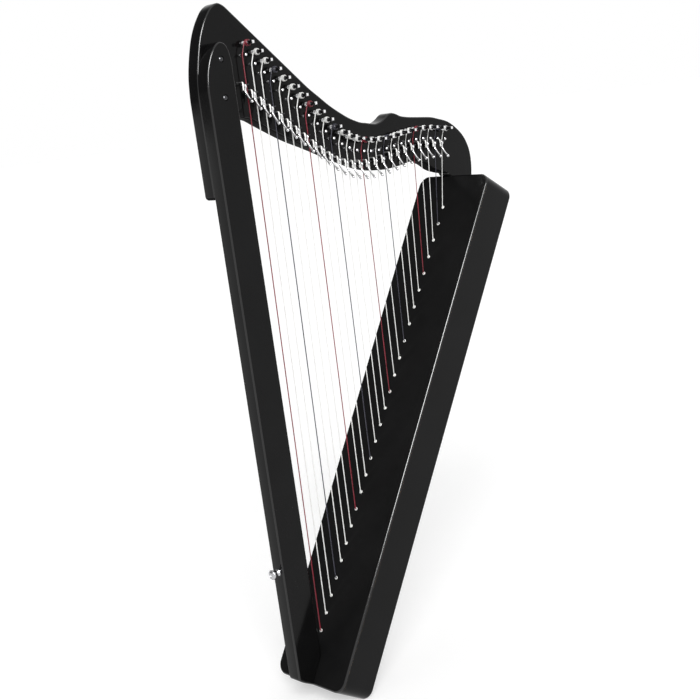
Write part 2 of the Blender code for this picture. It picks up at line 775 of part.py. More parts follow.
def neck_outline():
    """The neck board's outline as (x, z), clockwise from the foot of its long straight slope."""
    slope = [on_neck(number, rise) for number, rise in WOOD_ABOVE[:2]]
    top_edge = []
    for number in spread(WOOD_ABOVE[1][0], SHOULDER[0][0], 15)[:-1]:
        top_edge.append(on_neck(number, height_on(WOOD_ABOVE, number)))
    shoulder = [on_neck(number, rise) for number, rise in SHOULDER]

    corner = on_box(BOX_LENGTH + SEAT_GAP)
    toe = corner - OUTWARD * TOE_SETBACK
    heel = corner - OUTWARD * (BOX_DEPTH - HEEL_SETBACK)
    back = [(heel.x + x, heel.z + z) for x, z in FOOT_BACK]
    front = [(corner.x + x, corner.z + z) for x, z in FOOT_FRONT]

    below = []
    for number in spread(WOOD_BELOW[-1][0], WOOD_BELOW[0][0], 22):
        below.append(on_neck(number, -height_on(WOOD_BELOW, number)))

    tongue_end = FIRST.z + TONGUE_END
    inner_low = (pillar_edge(TONGUE_END, False) - TONGUE_INSET, tongue_end)
    outer_low = (pillar_edge(TONGUE_END, True), tongue_end)
    armpit_z = below[-1][1] + TONGUE_RISE
    armpit = (pillar_edge(armpit_z - FIRST.z, False) - TONGUE_INSET, armpit_z)
    lobe = []
    for inwards, rise in LOBE:
        z = bridge(0).z + rise
        lobe.append((pillar_edge(z - FIRST.z, True) + inwards, z))
    # The lobe's curve runs out along the slope, whose own straight run then takes over
    over = Vector(slope[0]).lerp(Vector(slope[1]), 0.1)
    lobe = through([*lobe, slope[0], tuple(over)])[:-3]
    return [
        *top_edge,
        *through([*shoulder, *back]),
        (heel.x, heel.z),
        (toe.x, toe.z),
        *through(front),
        *below,
        *corner_arc(armpit, below[-1], inner_low, TONGUE_FILLET),
        inner_low,
        *corner_arc(outer_low, inner_low, lobe[0], TONGUE_CORNER),
        *lobe,
    ]


def make_neck():
    board = plate("neck", [neck_outline()], BOARD_STOCK)
    upright(board, NECK_FACE + SEAT_GAP / 2 + BOARD_STOCK / 2)
    face = NECK_FACE + SEAT_GAP / 2
    rounded_edges(board, NECK_EDGE_RADIUS, lambda co: abs(co.y - face) < MM / 10)
    rounded_edges(board, NECK_EDGE_RADIUS, lambda co: co.y > face + BOARD_STOCK - MM / 10)
    neck = add_part("neck", board, LACQUER)

    bores, fittings = [], []
    drill = rod(
        PIN_RADIUS + 2 * SEAT_GAP,
        Vector((0, PIN_BORE_DEPTH, 0)),
        Vector((0, -PIN_BORE_DEPTH, 0)),
        PIN_SIDES,
    )
    spool = bridge_pin()
    bracket = lever_bracket()
    for index in range(STRINGS):
        top = bridge(index)
        bores.append((drill, (top.x + PIN_ASIDE, NECK_FACE, top.z + PIN_ABOVE)))
        beside = string_radius(index) + SEAT_GAP + BRIDGE_PIN_RADIUS
        fittings.append((spool, (top.x + beside, NECK_FACE, top.z)))
        fittings.append((bracket, lever_pivot(index)))
    combine(neck, add_cutter("pin_bores", gathered("pin_bores", bores)), "DIFFERENCE")
    combine(neck, add_cutter("neck_fittings", gathered("neck_fittings", fittings)), "UNION")


def pillar_outline():
    """The pillar's outline as (x, z), from its inner foot up and round."""
    seat = on_box(0, SEAT_GAP)
    rise = (-math.sin(PILLAR_TILT), math.cos(PILLAR_TILT))
    board, end = (ALONG.x, ALONG.z), (OUTWARD.x, OUTWARD.z)
    inner = line_cross((pillar_edge(0, False), FIRST.z), rise, (seat.x, seat.z), board)
    outer = line_cross((pillar_edge(0, True), FIRST.z), rise, (seat.x, seat.z), end)
    crown = []
    for side, knots in ((False, CROWN_INNER), (True, CROWN_OUTER)):
        for inwards, drop in knots:
            height = PILLAR_TOP - drop
            shift = inwards if side else -inwards
            crown.append((pillar_edge(height, side) + shift, FIRST.z + height))
    return [
        inner,
        *through(crown),
        *corner_arc(outer, crown[-1], (seat.x, seat.z), PILLAR_FOOT_CORNER),
        (seat.x, seat.z),
    ]


def make_pillar():
    """Stands on the soundboard, its foot cut flush with the box's end, and laps the neck's tongue."""
    board = plate("pillar", [pillar_outline()], BOARD_STOCK)
    upright(board, -SEAT_GAP / 2)
    near = -SEAT_GAP / 2 - BOARD_STOCK / 2
    rounded_edges(board, PILLAR_EDGE_RADIUS, lambda co: co.y < near + MM / 10)
    pillar = add_part("pillar", board, LACQUER)

    holes = []
    for drop, shift in PILLAR_SCREWS:
        height = PILLAR_TOP - drop
        x = (pillar_edge(height, True) + pillar_edge(height, False)) / 2 + shift
        mouth = Vector((x, near - SCREW_RECESS_DEPTH, FIRST.z + height))
        bottom = mouth + Vector((0, 2 * SCREW_RECESS_DEPTH, 0))
        holes.append((rod(SCREW_RECESS_RADIUS, mouth, bottom, 12), (0, 0, 0)))
    seat, outward = button_seat()
    bottom = seat - outward * (BUTTON_SCREW_LENGTH + 2 * SEAT_GAP)
    mouth = seat + outward * BUTTON_SCREW_RADIUS
    holes.append((rod(BUTTON_SCREW_RADIUS + SEAT_GAP, mouth, bottom, 8), (0, 0, 0)))
    combine(pillar, add_cutter("pillar_holes", gathered("pillar_holes", holes)), "DIFFERENCE")


def button_seat():
    """The strap button's seat on the pillar's front edge, and the way it faces."""
    outward = Vector((-math.cos(PILLAR_TILT), 0, -math.sin(PILLAR_TILT)))
    seat = Vector((pillar_edge(BUTTON_HEIGHT, True), 0, FIRST.z + BUTTON_HEIGHT))
    return seat, outward


def make_strap_button():
    """A turned button on a screw, its profile running down the outer side from the head."""
    length, head = BUTTON_LENGTH, BUTTON_RADIUS
    profile = [
        (0, length),
        (0.6 * head, length),
        (0.9 * head, 0.93 * length),
        (head, 0.8 * length),
        (0.86 * head, 0.68 * length),
        (BUTTON_WAIST, 0.5 * length),
        (BUTTON_WAIST, 0.25 * length),
        (BUTTON_BASE, SEAT_GAP + 0.4 * MM),
        (BUTTON_BASE, SEAT_GAP),
        (BUTTON_SCREW_RADIUS, SEAT_GAP),
        (BUTTON_SCREW_RADIUS, -0.8 * BUTTON_SCREW_LENGTH),
        (0, -BUTTON_SCREW_LENGTH),
    ]
    mesh = bpy.data.meshes.new("strap_button")
    mesh.from_pydata(
        [(x, 0, z) for x, z in profile], [(k, k + 1) for k in range(len(profile) - 1)], []
    )
    button = add_part("strap_button", mesh, CHROME)
    turning = button.modifiers.new("turning", "SCREW")
    turning.steps = 16
    turning.render_steps = 16
    turning.use_merge_vertices = True
    turning.merge_threshold = 0.00001
    seat, outward = button_seat()
    button.location = seat
    button.rotation_euler = outward.to_track_quat("Z", "Y").to_euler()


soundbox = make_soundbox()
make_strings(soundbox)
make_neck()
make_pillar()
make_strap_button()
make_tuning_pins()
make_levers()
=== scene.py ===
# %% [markdown]
# # A 26-string lap harp in gloss black lacquer
#
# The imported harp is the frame. Its joints say where each tuning pin and sharping lever turns, and
# the outlines of its neck and pillar are read from its own boards. The cells below dress it.
#
# Lengths are in metres. Z runs up the strings, X from the bass strings to the treble ones, and the
# strings are on the -Y side of the neck.

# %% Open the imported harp
import json
import math

import bmesh
import bpy
import numpy as np
from mathutils import Matrix, Vector


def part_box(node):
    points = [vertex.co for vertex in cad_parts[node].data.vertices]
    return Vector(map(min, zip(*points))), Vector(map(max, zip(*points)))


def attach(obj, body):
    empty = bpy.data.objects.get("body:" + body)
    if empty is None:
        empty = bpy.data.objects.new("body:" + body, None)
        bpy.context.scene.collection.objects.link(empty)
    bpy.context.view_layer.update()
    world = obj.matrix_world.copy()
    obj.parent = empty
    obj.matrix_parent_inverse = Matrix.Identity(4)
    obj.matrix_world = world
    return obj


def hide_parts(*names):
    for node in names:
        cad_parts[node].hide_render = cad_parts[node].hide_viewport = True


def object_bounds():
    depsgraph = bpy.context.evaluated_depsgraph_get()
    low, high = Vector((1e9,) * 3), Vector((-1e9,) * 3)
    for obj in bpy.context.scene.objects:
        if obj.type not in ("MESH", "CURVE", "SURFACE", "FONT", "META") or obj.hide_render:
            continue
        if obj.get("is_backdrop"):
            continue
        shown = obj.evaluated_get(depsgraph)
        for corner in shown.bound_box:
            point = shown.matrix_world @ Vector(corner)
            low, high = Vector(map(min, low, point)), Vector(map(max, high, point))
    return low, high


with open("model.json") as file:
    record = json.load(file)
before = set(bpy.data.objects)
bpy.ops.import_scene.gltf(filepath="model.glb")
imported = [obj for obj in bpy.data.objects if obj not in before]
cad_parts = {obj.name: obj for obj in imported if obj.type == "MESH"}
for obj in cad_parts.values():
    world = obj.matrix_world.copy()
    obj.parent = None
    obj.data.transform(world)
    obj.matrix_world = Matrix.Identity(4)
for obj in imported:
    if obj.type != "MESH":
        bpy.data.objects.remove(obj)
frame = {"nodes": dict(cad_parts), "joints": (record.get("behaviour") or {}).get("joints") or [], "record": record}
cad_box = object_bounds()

MM = 0.001
JOINTS = {joint["name"]: joint for joint in frame["joints"]}
STRINGS = sum(name.startswith("tuning_") for name in JOINTS)
base_mount = next(m for m in frame["record"]["mounts"] if m["name"] == "base")
ALONG = -Vector(base_mount["axis"]).normalized()
OUTWARD = Vector((-ALONG.z, 0, ALONG.x))
BOX = Matrix((ALONG, Vector((0, 1, 0)), OUTWARD)).transposed()
print(f"{STRINGS} strings, {len(frame['nodes'])} packed nodes, {len(JOINTS)} joints")
print(f"board leans {math.degrees(math.asin(ALONG.x)):.1f} degrees from the strings")

# %% [markdown]
# ## Sizes
#
# The soundbox's own axes run up the board (x), across it (y) and out of it (z). The strings are in
# a plane between the pillar's two faces. The neck's face is the one that the pins stand on.

# %% Measure the boards
def in_box_axes(node):
    """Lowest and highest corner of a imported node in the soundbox's own axes."""
    points = np.array([BOX.transposed() @ v.co for v in frame["nodes"][node].data.vertices])
    return Vector(points.min(0)), Vector(points.max(0))


board_low, board_high = in_box_axes("soundboard")
back_low, back_high = in_box_axes("back_panel")
BOX_LENGTH = board_high.x
HALF_WIDTH = board_high.y
BOARD_TOP = board_high.z
BOX_BACK = back_low.z
BOX_CORNER = 15 * MM
BOX_EDGE = 2.4 * MM
WALL = 7 * MM
BOARD_THICKNESS = board_high.z - board_low.z
BACK_THICKNESS = back_high.z - back_low.z
NECK_FACE = JOINTS["tuning_01"]["pos_m"][1]
STRING_STAND_OFF = 6 * MM
STRING_PLANE = NECK_FACE - STRING_STAND_OFF
print(f"soundbox {BOX_LENGTH / MM:.0f} x {2 * HALF_WIDTH / MM:.0f} mm")
print(f"neck face at y {NECK_FACE / MM:.1f} mm")

# %% [markdown]
# ## Where the strings run
#
# The strings stand at even steps, and each bends at a bridge pin on its way to its tuning pin. The
# places could be typed in, but a string worked out from its pin's joint always meets the pin.

# %% Places of the eyelets, pins and strings
FIRST_EYELET = 65.5 * MM
BASS_STEP = 11.9 * MM
TREBLE_STEP = 12.5 * MM
BASS_STRINGS = 16
PIN_ASIDE = 8.2 * MM
PIN_ABOVE = 13.2 * MM
THICKEST_STRING = 0.68 * MM
THINNEST_STRING = 0.46 * MM


def on_box(x, y, z):
    """A point given in the soundbox's axes, in the harp's own."""
    return BOX @ Vector((x, y, z))


def eyelet_distance(index):
    """Distance of a string's eyelet up the board from the flat lower end."""
    bass = min(index, BASS_STRINGS - 1)
    across = bass * BASS_STEP + (index - bass) * TREBLE_STEP
    return FIRST_EYELET + across / ALONG.x


def string_radius(index):
    """The strings get evenly thinner towards the treble."""
    share = index / (STRINGS - 1)
    return THICKEST_STRING + (THINNEST_STRING - THICKEST_STRING) * share


def pin_place(index):
    """Where a tuning pin's axis meets the neck's face."""
    return Vector(JOINTS[f"tuning_{index + 1:02d}"]["pos_m"])


def bridge_place(index):
    """Where a string bends round its bridge pin."""
    pin = pin_place(index)
    return Vector((pin.x - PIN_ASIDE, STRING_PLANE, pin.z - PIN_ABOVE))


def string_note(index):
    """C strings are red, F strings dark, and the rest clear."""
    return {0: "red", 3: "dark"}.get(index % 7, "clear")


print("first string bends at", tuple(round(v, 3) for v in bridge_place(0)))

# %% [markdown]
# ## Textures for the finishes
#
# A real surface is never quite even. Its variations could come from a picture, but noise stays
# sharp close up and needs no file. It is laid out in the object's coordinates, so it moves with it.

# %% Texture helpers
NOISE_LOW, NOISE_HIGH = 0.3, 0.7


def new_finish(name):
    finish = bpy.data.materials.new(name)
    finish.use_nodes = True
    tree = finish.node_tree
    return finish, tree, tree.nodes["Principled BSDF"]


def fill(tree, node, sockets):
    """Sets a node's sockets to values, or links them to other nodes."""
    for name, value in sockets.items():
        if isinstance(value, bpy.types.NodeSocket):
            tree.links.new(value, node.inputs[name])
        else:
            node.inputs[name].default_value = value
    return node


def add_node(tree, kind, sockets):
    return fill(tree, tree.nodes.new("ShaderNode" + kind), sockets)


def object_space(tree, stretch=(1, 1, 1)):
    """The object's own coordinates, stretched, to drive a texture."""
    where = add_node(tree, "TexCoord", {}).outputs["Object"]
    return add_node(tree, "Mapping", {"Vector": where, "Scale": stretch}).outputs["Vector"]


def noise(tree, vector, scale, detail, roughness):
    sockets = {"Vector": vector, "Scale": scale, "Detail": detail, "Roughness": roughness}
    return add_node(tree, "TexNoise", sockets).outputs["Fac"]


def blended(tree, factor, low, high):
    """A colour between two, by a texture."""
    ramp = add_node(tree, "ValToRGB", {"Fac": factor})
    for stop, place, colour in zip(ramp.color_ramp.elements, (NOISE_LOW, NOISE_HIGH), (low, high)):
        stop.position = place
        stop.color = (*colour, 1)
    return ramp.outputs["Color"]


def between(tree, factor, low, high):
    """A number between two, by a texture."""
    limits = {"From Min": NOISE_LOW, "From Max": NOISE_HIGH, "To Min": low, "To Max": high}
    return add_node(tree, "MapRange", {"Value": factor, **limits}).outputs["Result"]


def raised(tree, height, strength, distance):
    """A bump from a texture."""
    sockets = {"Height": height, "Strength": strength, "Distance": distance}
    return add_node(tree, "Bump", sockets).outputs["Normal"]


print(f"noise counts from {NOISE_LOW} to {NOISE_HIGH}")

# %% [markdown]
# ## Lacquer
#
# The boards are sprayed almost black and polished, which leaves a slight orange peel and an uneven
# sheen. Full gloss would mirror the white backdrop. So the shine is low on the flat faces, and a
# glossier coat on the rounded edges catches the lamp.

# %% Lacquers
SPECK_SHARE = 0.35


def lacquer(name, dark, light, shine, sheen):
    """Sprayed gloss lacquer: orange peel in the surface and faint clouds in colour and sheen."""
    finish, tree, shader = new_finish(name)
    space = object_space(tree)
    clouds = noise(tree, space, scale=14, detail=4, roughness=0.6)
    specks = noise(tree, space, scale=900, detail=2, roughness=0.7)
    peel = noise(tree, space, scale=260, detail=2, roughness=0.4)
    smear = tree.nodes.new("ShaderNodeMath")
    smear.operation = "MULTIPLY_ADD"
    fill(tree, smear, {0: specks, 1: SPECK_SHARE, 2: clouds})
    fill(tree, shader, {
        "Base Color": blended(tree, clouds, dark, light),
        "Roughness": between(tree, smear.outputs["Value"], *sheen),
        "Normal": raised(tree, peel, strength=0.05, distance=0.2 * MM),
        "Specular IOR Level": shine,
    })
    return finish


DEEP_BLACK = (0.0035, 0.0035, 0.0036), (0.0055, 0.0055, 0.0057)
SOFT_BLACK = (0.006, 0.006, 0.0062), (0.01, 0.01, 0.0103)
SOUNDBOARD_BLACK = (0.006, 0.006, 0.0061), (0.009, 0.009, 0.0092)
BLACK = lacquer("black_lacquer", *DEEP_BLACK, shine=0.13, sheen=(0.05, 0.12))
EDGE_BLACK = lacquer("edge_lacquer", *DEEP_BLACK, shine=0.5, sheen=(0.05, 0.12))
SATIN_BLACK = lacquer("satin_black", *SOFT_BLACK, shine=0.02, sheen=(0.45, 0.6))
BOARD_BLACK = lacquer("soundboard_lacquer", *SOUNDBOARD_BLACK, shine=0.12, sheen=(0.16, 0.24))
print("lacquers", *(finish.name for finish in (BLACK, EDGE_BLACK, SATIN_BLACK, BOARD_BLACK)))

# %% [markdown]
# ## Metal
#
# Pins and levers are plated and polished, and eyelets and brackets are duller. The flat sides of
# levers and brackets are a darker steel, a painted reflection of a dark room. The middles of the
# pins, the levers' bars and the brackets' pivots are dark steel, painted as shade. A metal's look
# is nearly all reflection, so the hairlines of polishing are drawn in its roughness and not in its
# colour.

# %% Metals
# How far a texture is stretched along each axis: less than 1 makes it longer
HAIRLINES = (1, 14, 1)


def polished_metal(name, low, high, sheen):
    """Plated metal with hairline polishing marks and slightly cloudy plating."""
    finish, tree, shader = new_finish(name)
    clouds = noise(tree, object_space(tree), scale=220, detail=3, roughness=0.6)
    lines = noise(tree, object_space(tree, HAIRLINES), scale=700, detail=3, roughness=0.7)
    fill(tree, shader, {
        "Base Color": blended(tree, clouds, low, high),
        "Roughness": between(tree, lines, *sheen),
        "Normal": raised(tree, lines, strength=0.04, distance=0.05 * MM),
        "Metallic": 1.0,
    })
    return finish


CHROME = polished_metal("chrome", (0.84, 0.84, 0.85), (0.92, 0.92, 0.93), (0.08, 0.2))
NICKEL = polished_metal("nickel", (0.88, 0.88, 0.86), (0.95, 0.95, 0.93), (0.5, 0.62))
# A darker steel for the flat sides of levers and brackets: a painted reflection of a dark room
PAINTED_SHADE_STEEL = polished_metal("painted_shade_steel", (0.32, 0.32, 0.325), (0.45, 0.45, 0.46), (0.25, 0.4))
BUTTON_STEEL = polished_metal("button_steel", (0.4, 0.4, 0.41), (0.6, 0.6, 0.62), (0.1, 0.22))
# Dark steel: the screw caps' own colour, and painted shade on pins' middles, bars and pivots
DARK_STEEL_AND_SHADE = polished_metal(
    "dark_steel_and_painted_shade", (0.05, 0.05, 0.053), (0.09, 0.09, 0.095), (0.2, 0.32)
)
print("metals", *(metal.name for metal in (CHROME, NICKEL, PAINTED_SHADE_STEEL, BUTTON_STEEL, DARK_STEEL_AND_SHADE)))

# %% [markdown]
# ## Nylon and bare wood
#
# The strings are nylon, red for C and dark for F, so that a player finds the notes. The box is bare
# wood inside. Its grain could be modelled, but noise stretched along the board looks the same.

# %% Nylon and wood
STREAKS = (1, 1, 0.15)
LONG_GRAIN = (0.06, 1, 1)


def nylon(name, low, high, clear):
    """Drawn nylon: a smooth line with a little cloudiness along it."""
    finish, tree, shader = new_finish(name)
    streaks = noise(tree, object_space(tree, STREAKS), scale=300, detail=3, roughness=0.6)
    fill(tree, shader, {
        "Base Color": blended(tree, streaks, low, high),
        "Roughness": between(tree, streaks, 0.22, 0.38),
        "Transmission Weight": clear,
        "IOR": 1.53,
    })
    return finish


def timber(name, low, high):
    """Bare wood with long grain and fine pores."""
    finish, tree, shader = new_finish(name)
    space = object_space(tree, LONG_GRAIN)
    grain = noise(tree, space, scale=160, detail=6, roughness=0.65)
    pores = noise(tree, space, scale=900, detail=3, roughness=0.6)
    fill(tree, shader, {
        "Base Color": blended(tree, grain, low, high),
        "Roughness": between(tree, pores, 0.55, 0.75),
        "Normal": raised(tree, pores, strength=0.25, distance=0.2 * MM),
    })
    return finish


CLEAR_NYLON = nylon("clear_nylon", (0.93, 0.93, 0.91), (0.98, 0.98, 0.96), clear=0.08)
RED_NYLON = nylon("red_nylon", (0.22, 0.005, 0.02), (0.34, 0.012, 0.035), clear=0.3)
DARK_NYLON = nylon("dark_nylon", (0.03, 0.03, 0.05), (0.06, 0.058, 0.09), clear=0.4)
RIB_WOOD = timber("rib_maple", (0.44, 0.3, 0.16), (0.6, 0.43, 0.25))
INSIDE_WOOD = timber("inside_birch", (0.4, 0.27, 0.15), (0.55, 0.39, 0.23))
NYLON = {"clear": CLEAR_NYLON, "red": RED_NYLON, "dark": DARK_NYLON}
print("nylon", *NYLON, "and wood", RIB_WOOD.name, INSIDE_WOOD.name)

# %% [markdown]
# ## Putting a piece in place
#
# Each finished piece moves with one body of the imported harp, and can stand for some of its nodes.
# It is shaded smooth, as sanded wood and turned metal are, apart from its sharper edges.

# %% Piece helpers
CREASE = math.radians(32)


def put(name, data):
    """A new object in the scene."""
    item = bpy.data.objects.new(name, data)
    bpy.context.scene.collection.objects.link(item)
    return item


def add_piece(name, mesh, finishes, body, slot, *nodes):
    """One finished piece: its materials, the body it moves with and the nodes it stands for."""
    piece = put(name, mesh)
    for finish in finishes:
        mesh.materials.append(finish)
    mesh.shade_smooth()
    mesh.set_sharp_from_angle(angle=CREASE)
    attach(piece, body)
    if nodes:
        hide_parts(*nodes)


print(f"pieces can ride on {len(JOINTS) + 1} bodies")

# %% [markdown]
# ## Boards
#
# The boards' edges are rounded with a router. A bevel modifier could do that, but it can break up
# on tight curves. So a board is skinned from copies of its outline, set in along a quarter circle.

# %% Board helpers
LEAST_REACH = 0.3
# A narrow ring inside each rounded edge keeps the flat faces evenly shaded
SUPPORT = 0.3 * MM


def bridge_rings(work, rings, capped=True):
    """Skins equal rings of points, capped at both ends or closed into a ring."""
    rows = [[work.verts.new(point) for point in ring] for ring in rings]
    if not capped:
        rows.append(rows[0])
    for one, two in zip(rows, rows[1:]):
        for k in range(len(one)):
            n = (k + 1) % len(one)
            work.faces.new((one[k], one[n], two[n], two[k]))
    if capped:
        work.faces.new(rows[0][::-1])
        work.faces.new(rows[-1])


def mesh_of(name, work):
    """The finished mesh, its many-cornered flats split into triangles."""
    bmesh.ops.recalc_face_normals(work, faces=work.faces)
    flats = [face for face in work.faces if len(face.verts) > 4]
    bmesh.ops.triangulate(work, faces=flats, ngon_method="BEAUTY")
    mesh = bpy.data.meshes.new(name)
    work.to_mesh(mesh)
    work.free()
    return mesh


def anticlockwise(outline):
    area = sum(a[0] * b[1] - b[0] * a[1] for a, b in zip(outline, outline[1:] + outline[:1]))
    return outline if area > 0 else outline[::-1]


def set_in(outline, amount):
    """The outline moved inwards, with mitred corners."""
    moved = []
    count = len(outline)
    for k, here in enumerate(outline):
        here = Vector(here)
        one = (here - Vector(outline[k - 1])).normalized()
        two = (Vector(outline[(k + 1) % count]) - here).normalized()
        left = Vector((-one.y - two.y, one.x + two.x))
        left.normalize()
        reach = max(left.dot(Vector((-one.y, one.x))), LEAST_REACH)
        moved.append(tuple(here + left * amount / reach))
    return moved


def rounded_board(outline, low, high, low_edge, high_edge, steps):
    """A flat board in XY between two heights, its two edges rounded to their own radii."""
    outline = anticlockwise(outline)
    turns = [math.pi / 2 * step / steps for step in range(steps + 1)]
    lower = [(low_edge * (1 - math.sin(a)), low + low_edge * (1 - math.cos(a))) for a in turns]
    upper = [(high_edge * (1 - math.cos(a)), high - high_edge * (1 - math.sin(a))) for a in turns]
    levels = [(low_edge + SUPPORT, low), *lower, *upper, (high_edge + SUPPORT, high)]
    work = bmesh.new()
    rings = [[(x, y, z) for x, y in set_in(outline, inset)] for inset, z in levels]
    bridge_rings(work, rings)
    return mesh_of("board", work)


def stand_up(mesh):
    """Turns a board from XY into the plane of the strings, its height running to -Y."""
    mesh.transform(Matrix.Rotation(math.radians(90), 4, "X"))
    return mesh


def onto_box(mesh):
    """Lays a board made in XY on the slanting soundbox."""
    mesh.transform(BOX.to_4x4())
    return mesh


print(f"edges are rounded from a ring {SUPPORT / MM} mm inside them")

# %% [markdown]
# ## Turned pieces and holes
#
# Pins, caps and drills are profiles turned about an axis, as on a lathe. A hole is cut by taking a
# turned piece away: painting it on is quicker, but shows close up.

# %% Lathe and drill
def ring_points(radius, sides):
    turn = 2 * math.pi / sides
    return [(radius * math.cos(turn * k), radius * math.sin(turn * k)) for k in range(sides)]


def turned(work, profile, place, axis, sides=24):
    """A lathe piece: (radius, distance along the axis) steps, capped at both ends."""
    turn = Vector(axis).to_track_quat("Z", "Y").to_matrix()
    rings = [
        [Vector(place) + turn @ Vector((x, y, along)) for x, y in ring_points(radius, sides)]
        for radius, along in profile
    ]
    bridge_rings(work, rings)


def cut_out(mesh, tools):
    """Cuts the tools from a mesh and gives the mesh that is left."""
    blank, knife = put("blank", mesh), put("knife", tools)
    cut = blank.modifiers.new("cut", "BOOLEAN")
    cut.operation = "DIFFERENCE"
    cut.solver = "EXACT"
    cut.object = knife
    bpy.context.view_layer.update()
    evaluated = blank.evaluated_get(bpy.context.evaluated_depsgraph_get())
    left = bpy.data.meshes.new_from_object(evaluated)
    bpy.data.objects.remove(blank)
    bpy.data.objects.remove(knife)
    work = bmesh.new()
    work.from_mesh(left)
    return mesh_of(mesh.name, work)


print(f"a ring of 4 points: {[(round(x), round(y)) for x, y in ring_points(1, 4)]}")

# %% [markdown]
# ## Outlines of the neck and the pillar
#
# Their free curves could be drawn again by eye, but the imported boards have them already. Each is
# sliced where no hole reaches, and the points of the slice are joined into one loop.

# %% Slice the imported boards
WELD = 0.005 * MM
ON_THE_CUT = 0.0001 * MM
NECK_SLICE, PILLAR_SLICE = 3 * MM, 4 * MM


def without_straights(points, slack=0.004 * MM):
    """Drops the points that lie on the line between their neighbours."""
    kept = list(points)
    k = 0
    while k < len(kept):
        here = Vector(kept[k])
        one, two = Vector(kept[k - 1]), Vector(kept[(k + 1) % len(kept)])
        line = two - one
        off = abs(line.x * (here - one).y - line.y * (here - one).x) / max(line.length, 1e-9)
        if off < slack:
            kept.pop(k)
        else:
            k += 1
    return kept


def slice_of(node, level):
    """The loop of (x, z) points where a packed board crosses a level of y."""
    work = bmesh.new()
    work.from_mesh(frame["nodes"][node].data)
    bmesh.ops.remove_doubles(work, verts=work.verts, dist=WELD)
    geometry = [*work.verts, *work.edges, *work.faces]
    cut = bmesh.ops.bisect_plane(
        work, geom=geometry, plane_co=(0, level, 0), plane_no=(0, 1, 0), dist=ON_THE_CUT
    )["geom_cut"]
    edges = [item for item in cut if isinstance(item, bmesh.types.BMEdge)]
    joined = {}
    for edge in edges:
        one, two = edge.verts
        joined.setdefault(one, []).append(two)
        joined.setdefault(two, []).append(one)
    start = next(iter(joined))
    loop, here, before = [start], joined[start][0], start
    while here is not start:
        loop.append(here)
        here, before = next(v for v in joined[here] if v is not before), here
    points = [(v.co.x, v.co.z) for v in loop]
    work.free()
    return anticlockwise(without_straights(points))


_, neck_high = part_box("neck")
pillar_low, pillar_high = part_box("pillar")
neck_points = slice_of("neck", neck_high.y - NECK_SLICE)
pillar_points = slice_of("pillar", pillar_high.y - PILLAR_SLICE)
print(f"neck {len(neck_points)} points, pillar {len(pillar_points)} points")

# %% [markdown]
# ## Smooth outlines
#
# A slice is a row of short straights. Smoothing the mesh would round its corners off too, so a
# curve is drawn through the points, straight along the long edges and sharp at the corners. The
# hollow in the neck's top edge has its own knots, as the real one sweeps more evenly.

# %% Draw the outlines
STRAIGHT_EDGE = 26 * MM
SHARP_CORNER = math.radians(32)


def curve_point(a, leave, b, arrive, t):
    """A point on the smooth curve from a to b, which has these slopes at its ends."""
    return tuple(
        a * (2 * t**3 - 3 * t**2 + 1)
        + leave * (t**3 - 2 * t**2 + t)
        + b * (3 * t**2 - 2 * t**3)
        + arrive * (t**3 - t**2)
    )


def drawn_smooth(points, spacing=2.2 * MM):
    """A smooth closed line through the points."""
    count = len(points)
    points = [Vector(p) for p in points]
    runs = [points[(k + 1) % count] - points[k] for k in range(count)]

    def heading(k, run):
        """Direction of the smooth line at a point, for the run that starts or ends there."""
        into, out = runs[k - 1], runs[k % count]
        if into.angle(out) > SHARP_CORNER:
            return run.normalized()
        for side in (into, out):
            if side.length > STRAIGHT_EDGE:
                return side.normalized()
        return (into.normalized() * out.length + out.normalized() * into.length).normalized()

    line = []
    for k in range(count):
        run = runs[k]
        if run.length > STRAIGHT_EDGE:
            line.append(tuple(points[k]))
            continue
        a, b = points[k], points[(k + 1) % count]
        leave = heading(k, run) * run.length
        arrive = heading((k + 1) % count, run) * run.length
        steps = max(1, round(run.length / spacing))
        line += [curve_point(a, leave, b, arrive, step / steps) for step in range(steps)]
    return line


HOLLOW_STRING = 17
HOLLOW_STEPS = 3
# Places of the hollow's knots from that string's bridge pin, in mm
HOLLOW = [
    (-17.2, 33.9), (-3.2, 32.1), (4.1, 32.9), (9.7, 34.6), (15.6, 37.6), (19.7, 40.2),
    (23.6, 42.0), (29.1, 42.5), (36.2, 40.7), (43.0, 37.5),
]


def hollowed(line):
    """The neck's top edge with its hollow swept out evenly, from string 17 to string 21."""
    root = bridge_place(HOLLOW_STRING)
    knots = [Vector((root.x + x * MM, root.z + z * MM)) for x, z in HOLLOW]
    inside = [knots[0].x < x < knots[-1].x and z > root.z for x, z in line]
    count = len(line)
    first = next(k for k in range(count) if inside[k] and not inside[k - 1])
    onwards = [(first + k) % count for k in range(count)]
    rest = [line[k] for k in onwards if not inside[k]]
    if (Vector(rest[-1]) - knots[0]).length > (Vector(rest[-1]) - knots[-1]).length:
        knots.reverse()
    knots[0], knots[-1] = Vector(rest[-1]), Vector(rest[0])
    path = [Vector(rest[-2]), *knots, Vector(rest[1])]
    sweep = []
    for before, a, b, after in zip(path, path[1:], path[2:], path[3:]):
        for step in range(HOLLOW_STEPS):
            sweep.append(curve_point(a, (b - before) / 2, b, (after - a) / 2, step / HOLLOW_STEPS))
    return rest + sweep[1:]


neck_line = hollowed(drawn_smooth(neck_points))
pillar_line = drawn_smooth(pillar_points)
print(f"neck outline {len(neck_line)} points, pillar outline {len(pillar_line)} points")

# %% [markdown]
# ## Soundboard
#
# The front of the box: a thin board with a hole for each string. The holes are really drilled,
# since the strings pass them in plain view. The top has a softer sheen than its edge.

# %% Soundboard
SEAT_EDGE = 0.05 * MM
BOX_EDGE_STEPS = 7
HOLE_RADIUS, HOLE_SIDES = 1.5 * MM, 20
ON_TOP = 0.01 * MM
NEARLY_SQUARE = 0.9


